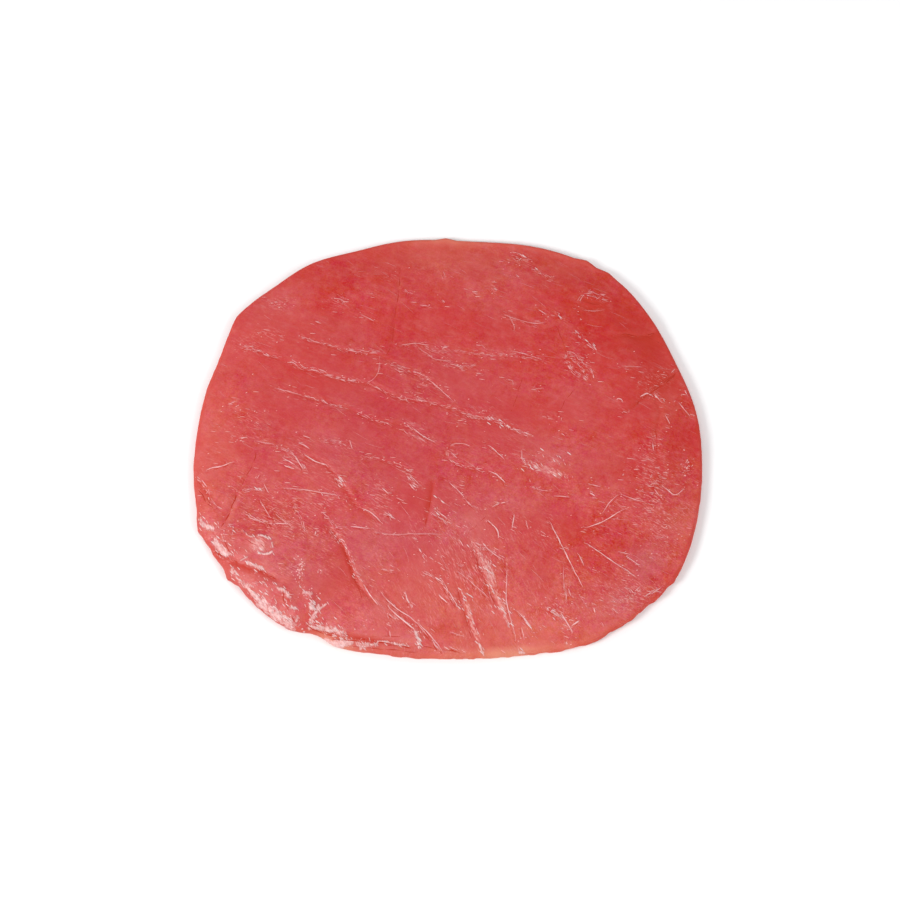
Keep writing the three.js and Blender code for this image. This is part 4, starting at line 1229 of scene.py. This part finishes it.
def furrow_shade_runs():
    """The plan, half width and tone of every line of painted shade that shows."""
    rng = np.random.default_rng(43)
    for half_width, corners in FURROWS:
        course, _, left = thread_course(corners)
        course = course + left * FURROW_WANDER * wander(course, 0, FURROW_WANDER_LENGTH, 44)
        for start, stop in broken_stretches(rng, len(course) - 1, FURROW_SHOWN, FURROW_HIDDEN):
            yield (course[start:stop + 1], half_width * rng.uniform(*FURROW_THICKNESS),
                   rng.uniform(*FURROW_TONE))
    for _, strands, corners in THREADS:
        course, _, left = thread_course(corners)
        course = course - left * (BESIDE_THREADS + STRAND_GAP * (strands - 1) / 2)
        for start, stop in broken_stretches(rng, len(course) - 1, BESIDE_SHOWN, BESIDE_HIDDEN):
            yield course[start:stop + 1], rng.uniform(*BESIDE_HALF_WIDTH), rng.uniform(*BESIDE_TONE)


# Painted shade of the furrows and of the threads' shaded side: dark red, darker or lighter by each line's
# tone, with a smooth wet gloss
def painted_furrow_shade():
    return toned_material("painted_furrow_shade", "B6301F", "C03C2C", roughness=0.2, ior=1.34)


furrow_shade_lines = grown_piece(
    "furrow_shade_lines", run_paths("furrow_shade_paths", furrow_shade_runs(), FURROW_SHADE_SINK), thread_tree(painted_furrow_shade()),
    {"Sides": THREAD_SIDES, "Fullness": THREAD_FULLNESS})
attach(furrow_shade_lines, "root")


# The flecks, partly painted glints.
# Short ends of cut fibre and crumbs of tissue, a millimetre or two long at most, that stick to the wet
# face of the meat; their paleness is partly painted glint. The slice is strewn with them, most thickly
# beside the creases and near the rim.

# Length, width and height of a middling fleck and a middling fibre end, and how far others stray from that
FLECK_SIZE = (0.42, 0.17, 0.08)
FIBRE_END_SIZE = (1.5, 0.12, 0.08)
LEAST_SHARE = 0.35
MOST_SHARE = 1.4


def sower_tree(name, material):
    """Sows small rounded grains over a surface, laid along its fibres."""
    tree, given = new_tree(name, String=["Where"], Int=["Roundness", "Seed"], Float=[
        "Density", "Length", "Width", "Height", "Flat Bearing", "Steep Bearing", "Disorder"])
    seed = given["Seed"]
    share = add_node(tree, "GeometryNodeInputNamedAttribute", {"data_type": "FLOAT"}, {
        "Name": given["Where"]})
    density = add_node(tree, "ShaderNodeMath", {"operation": "MULTIPLY"}, {0: share, 1: given["Density"]})
    points = add_node(tree, "GeometryNodeDistributePointsOnFaces", inputs={
        "Mesh": given["Geometry"], "Density": density, "Seed": seed})
    steep = add_node(tree, "GeometryNodeInputNamedAttribute", {"data_type": "FLOAT"}, {"Name": "steep"})
    bearing = add_node(tree, "ShaderNodeMix", inputs={
        "Factor": steep, "A": given["Flat Bearing"], "B": given["Steep Bearing"]})
    stray = add_node(tree, "FunctionNodeRandomValue", {"data_type": "FLOAT"}, {
        "Min": -1.0, "Max": 1.0, "Seed": seed})
    turn = add_node(tree, "ShaderNodeMath", {"operation": "MULTIPLY_ADD"}, {
        0: stray, 1: given["Disorder"], 2: bearing})
    along = add_node(tree, "FunctionNodeEulerToRotation", inputs={
        "Euler": add_node(tree, "ShaderNodeCombineXYZ", inputs={"Z": turn})})
    ahead = add_node(tree, "FunctionNodeRotateVector", inputs={"Vector": (1, 0, 0), "Rotation": along})
    laid = add_node(tree, "FunctionNodeAlignRotationToVector", {"axis": "X", "pivot_axis": "Z"}, {
        "Rotation": points.outputs["Rotation"], "Vector": ahead})
    luck = add_node(tree, "FunctionNodeRandomValue", {"data_type": "FLOAT"}, {
        "Min": LEAST_SHARE, "Max": MOST_SHARE, "Seed": seed})
    size = add_node(tree, "ShaderNodeCombineXYZ", inputs={
        "X": given["Length"], "Y": given["Width"], "Z": given["Height"]})
    scale = add_node(tree, "ShaderNodeVectorMath", {"operation": "SCALE"}, {"Vector": size, "Scale": luck})
    grain = add_node(tree, "GeometryNodeMeshIcoSphere", inputs={
        "Radius": 0.5, "Subdivisions": given["Roundness"]})
    smooth = add_node(tree, "GeometryNodeSetShadeSmooth", inputs={"Geometry": grain})
    sown = add_node(tree, "GeometryNodeInstanceOnPoints", inputs={
        "Points": points, "Instance": smooth, "Rotation": laid, "Scale": scale})
    tone = add_node(tree, "FunctionNodeRandomValue", {"data_type": "FLOAT"}, {"Seed": seed})
    toned = add_node(tree, "GeometryNodeStoreNamedAttribute", {"data_type": "FLOAT", "domain": "INSTANCE"}, {
        "Geometry": sown, "Name": "tone", "Value": tone})
    return end_tree(tree, toned, material)


def sown_piece(name, tree, where, density, size, bearings, disorder, seed, roundness=1):
    """What a tree sows over the meat, by the density for each square millimetre and the size of a grain."""
    ground = bpy.data.objects.new(f"{name}_ground", meat_slice.data)
    bpy.context.collection.objects.link(ground)
    length, width, height = size
    flat, steep = bearings
    return grown_piece(name, ground, tree, {
        "Where": where, "Density": density / MM ** 2, "Length": length * MM, "Width": width * MM,
        "Height": height * MM, "Flat Bearing": flat, "Steep Bearing": steep, "Disorder": disorder,
        "Roundness": roundness, "Seed": seed})


# Cut fibre: muscle drained of juice, so it is paler than the face that it lies on and less glossy; its
# paleness is partly painted glint
def cut_fibre_and_glints():
    return toned_material(
        "cut_fibre_and_glints", "BE463C", "EEB6B4", roughness=0.45, ior=1.4, glow_depth=0.3, rareness=2)


fleck_sower = sower_tree("fleck_sower", cut_fibre_and_glints())
surface_flecks_and_glints = sown_piece(
    "surface_flecks_and_glints", fleck_sower, "fleck", density=1.2, size=FLECK_SIZE,
    bearings=(FLAT_BEARING, STEEP_BEARING), disorder=math.radians(50), seed=51)
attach(surface_flecks_and_glints, "root")

fibre_ends_and_glints = sown_piece(
    "fibre_ends_and_glints", fleck_sower, "fleck", density=0.7, size=FIBRE_END_SIZE,
    bearings=(FLAT_BEARING, STEEP_BEARING), disorder=math.radians(24), seed=54)
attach(fibre_ends_and_glints, "root")


# The shreds of fascia, partly painted highlight.
# The thin pale skin of the muscle, which the knife tore into short ragged strips. They lie wet and
# pressed down on the front left rim, where their paleness is partly painted highlight of the wet rim,
# and over the sheets of tissue bared at a slant.
SHRED_SIZE = (1.3, 0.24, 0.08)
SHRED_BEARING = math.radians(-66)


# Fascia: a thin whitish skin, wet, so it is paler and glossier than the meat that it lies on; on the front
# left rim its paleness is partly painted highlight
def fascia_and_glints():
    return toned_material("fascia_and_glints", "D67E7C", "F2CCCA", roughness=0.15, ior=1.4, glow_depth=0.3)


fascia_and_glint_shreds = sown_piece(
    "fascia_and_glint_shreds", sower_tree("shred_sower", fascia_and_glints()), "shreds", density=1.5, size=SHRED_SIZE,
    bearings=(SHRED_BEARING, SHRED_BEARING), disorder=math.radians(28), seed=53)
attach(fascia_and_glint_shreds, "root")


# The froth.
# Where the slice was pressed, juice has come out of it in tiny beads and bubbles that stand on the skin.
# They lie mostly in one patch at the front left, and singly along the rim.
BEAD_SIZE = (0.38, 0.28, 0.18)


# Froth of meat juice: clear pinkish bubbles with a wet skin, so each one carries a small white glint
def juice_froth():
    return toned_material("juice_froth", "CC6A68", "E8AEAC", roughness=0.1, ior=1.34)


froth_beads = sown_piece(
    "froth_beads", sower_tree("froth_sower", juice_froth()), "foam", density=6.5, size=BEAD_SIZE,
    bearings=(0, 0), disorder=math.pi, seed=52, roundness=2)
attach(froth_beads, "root")
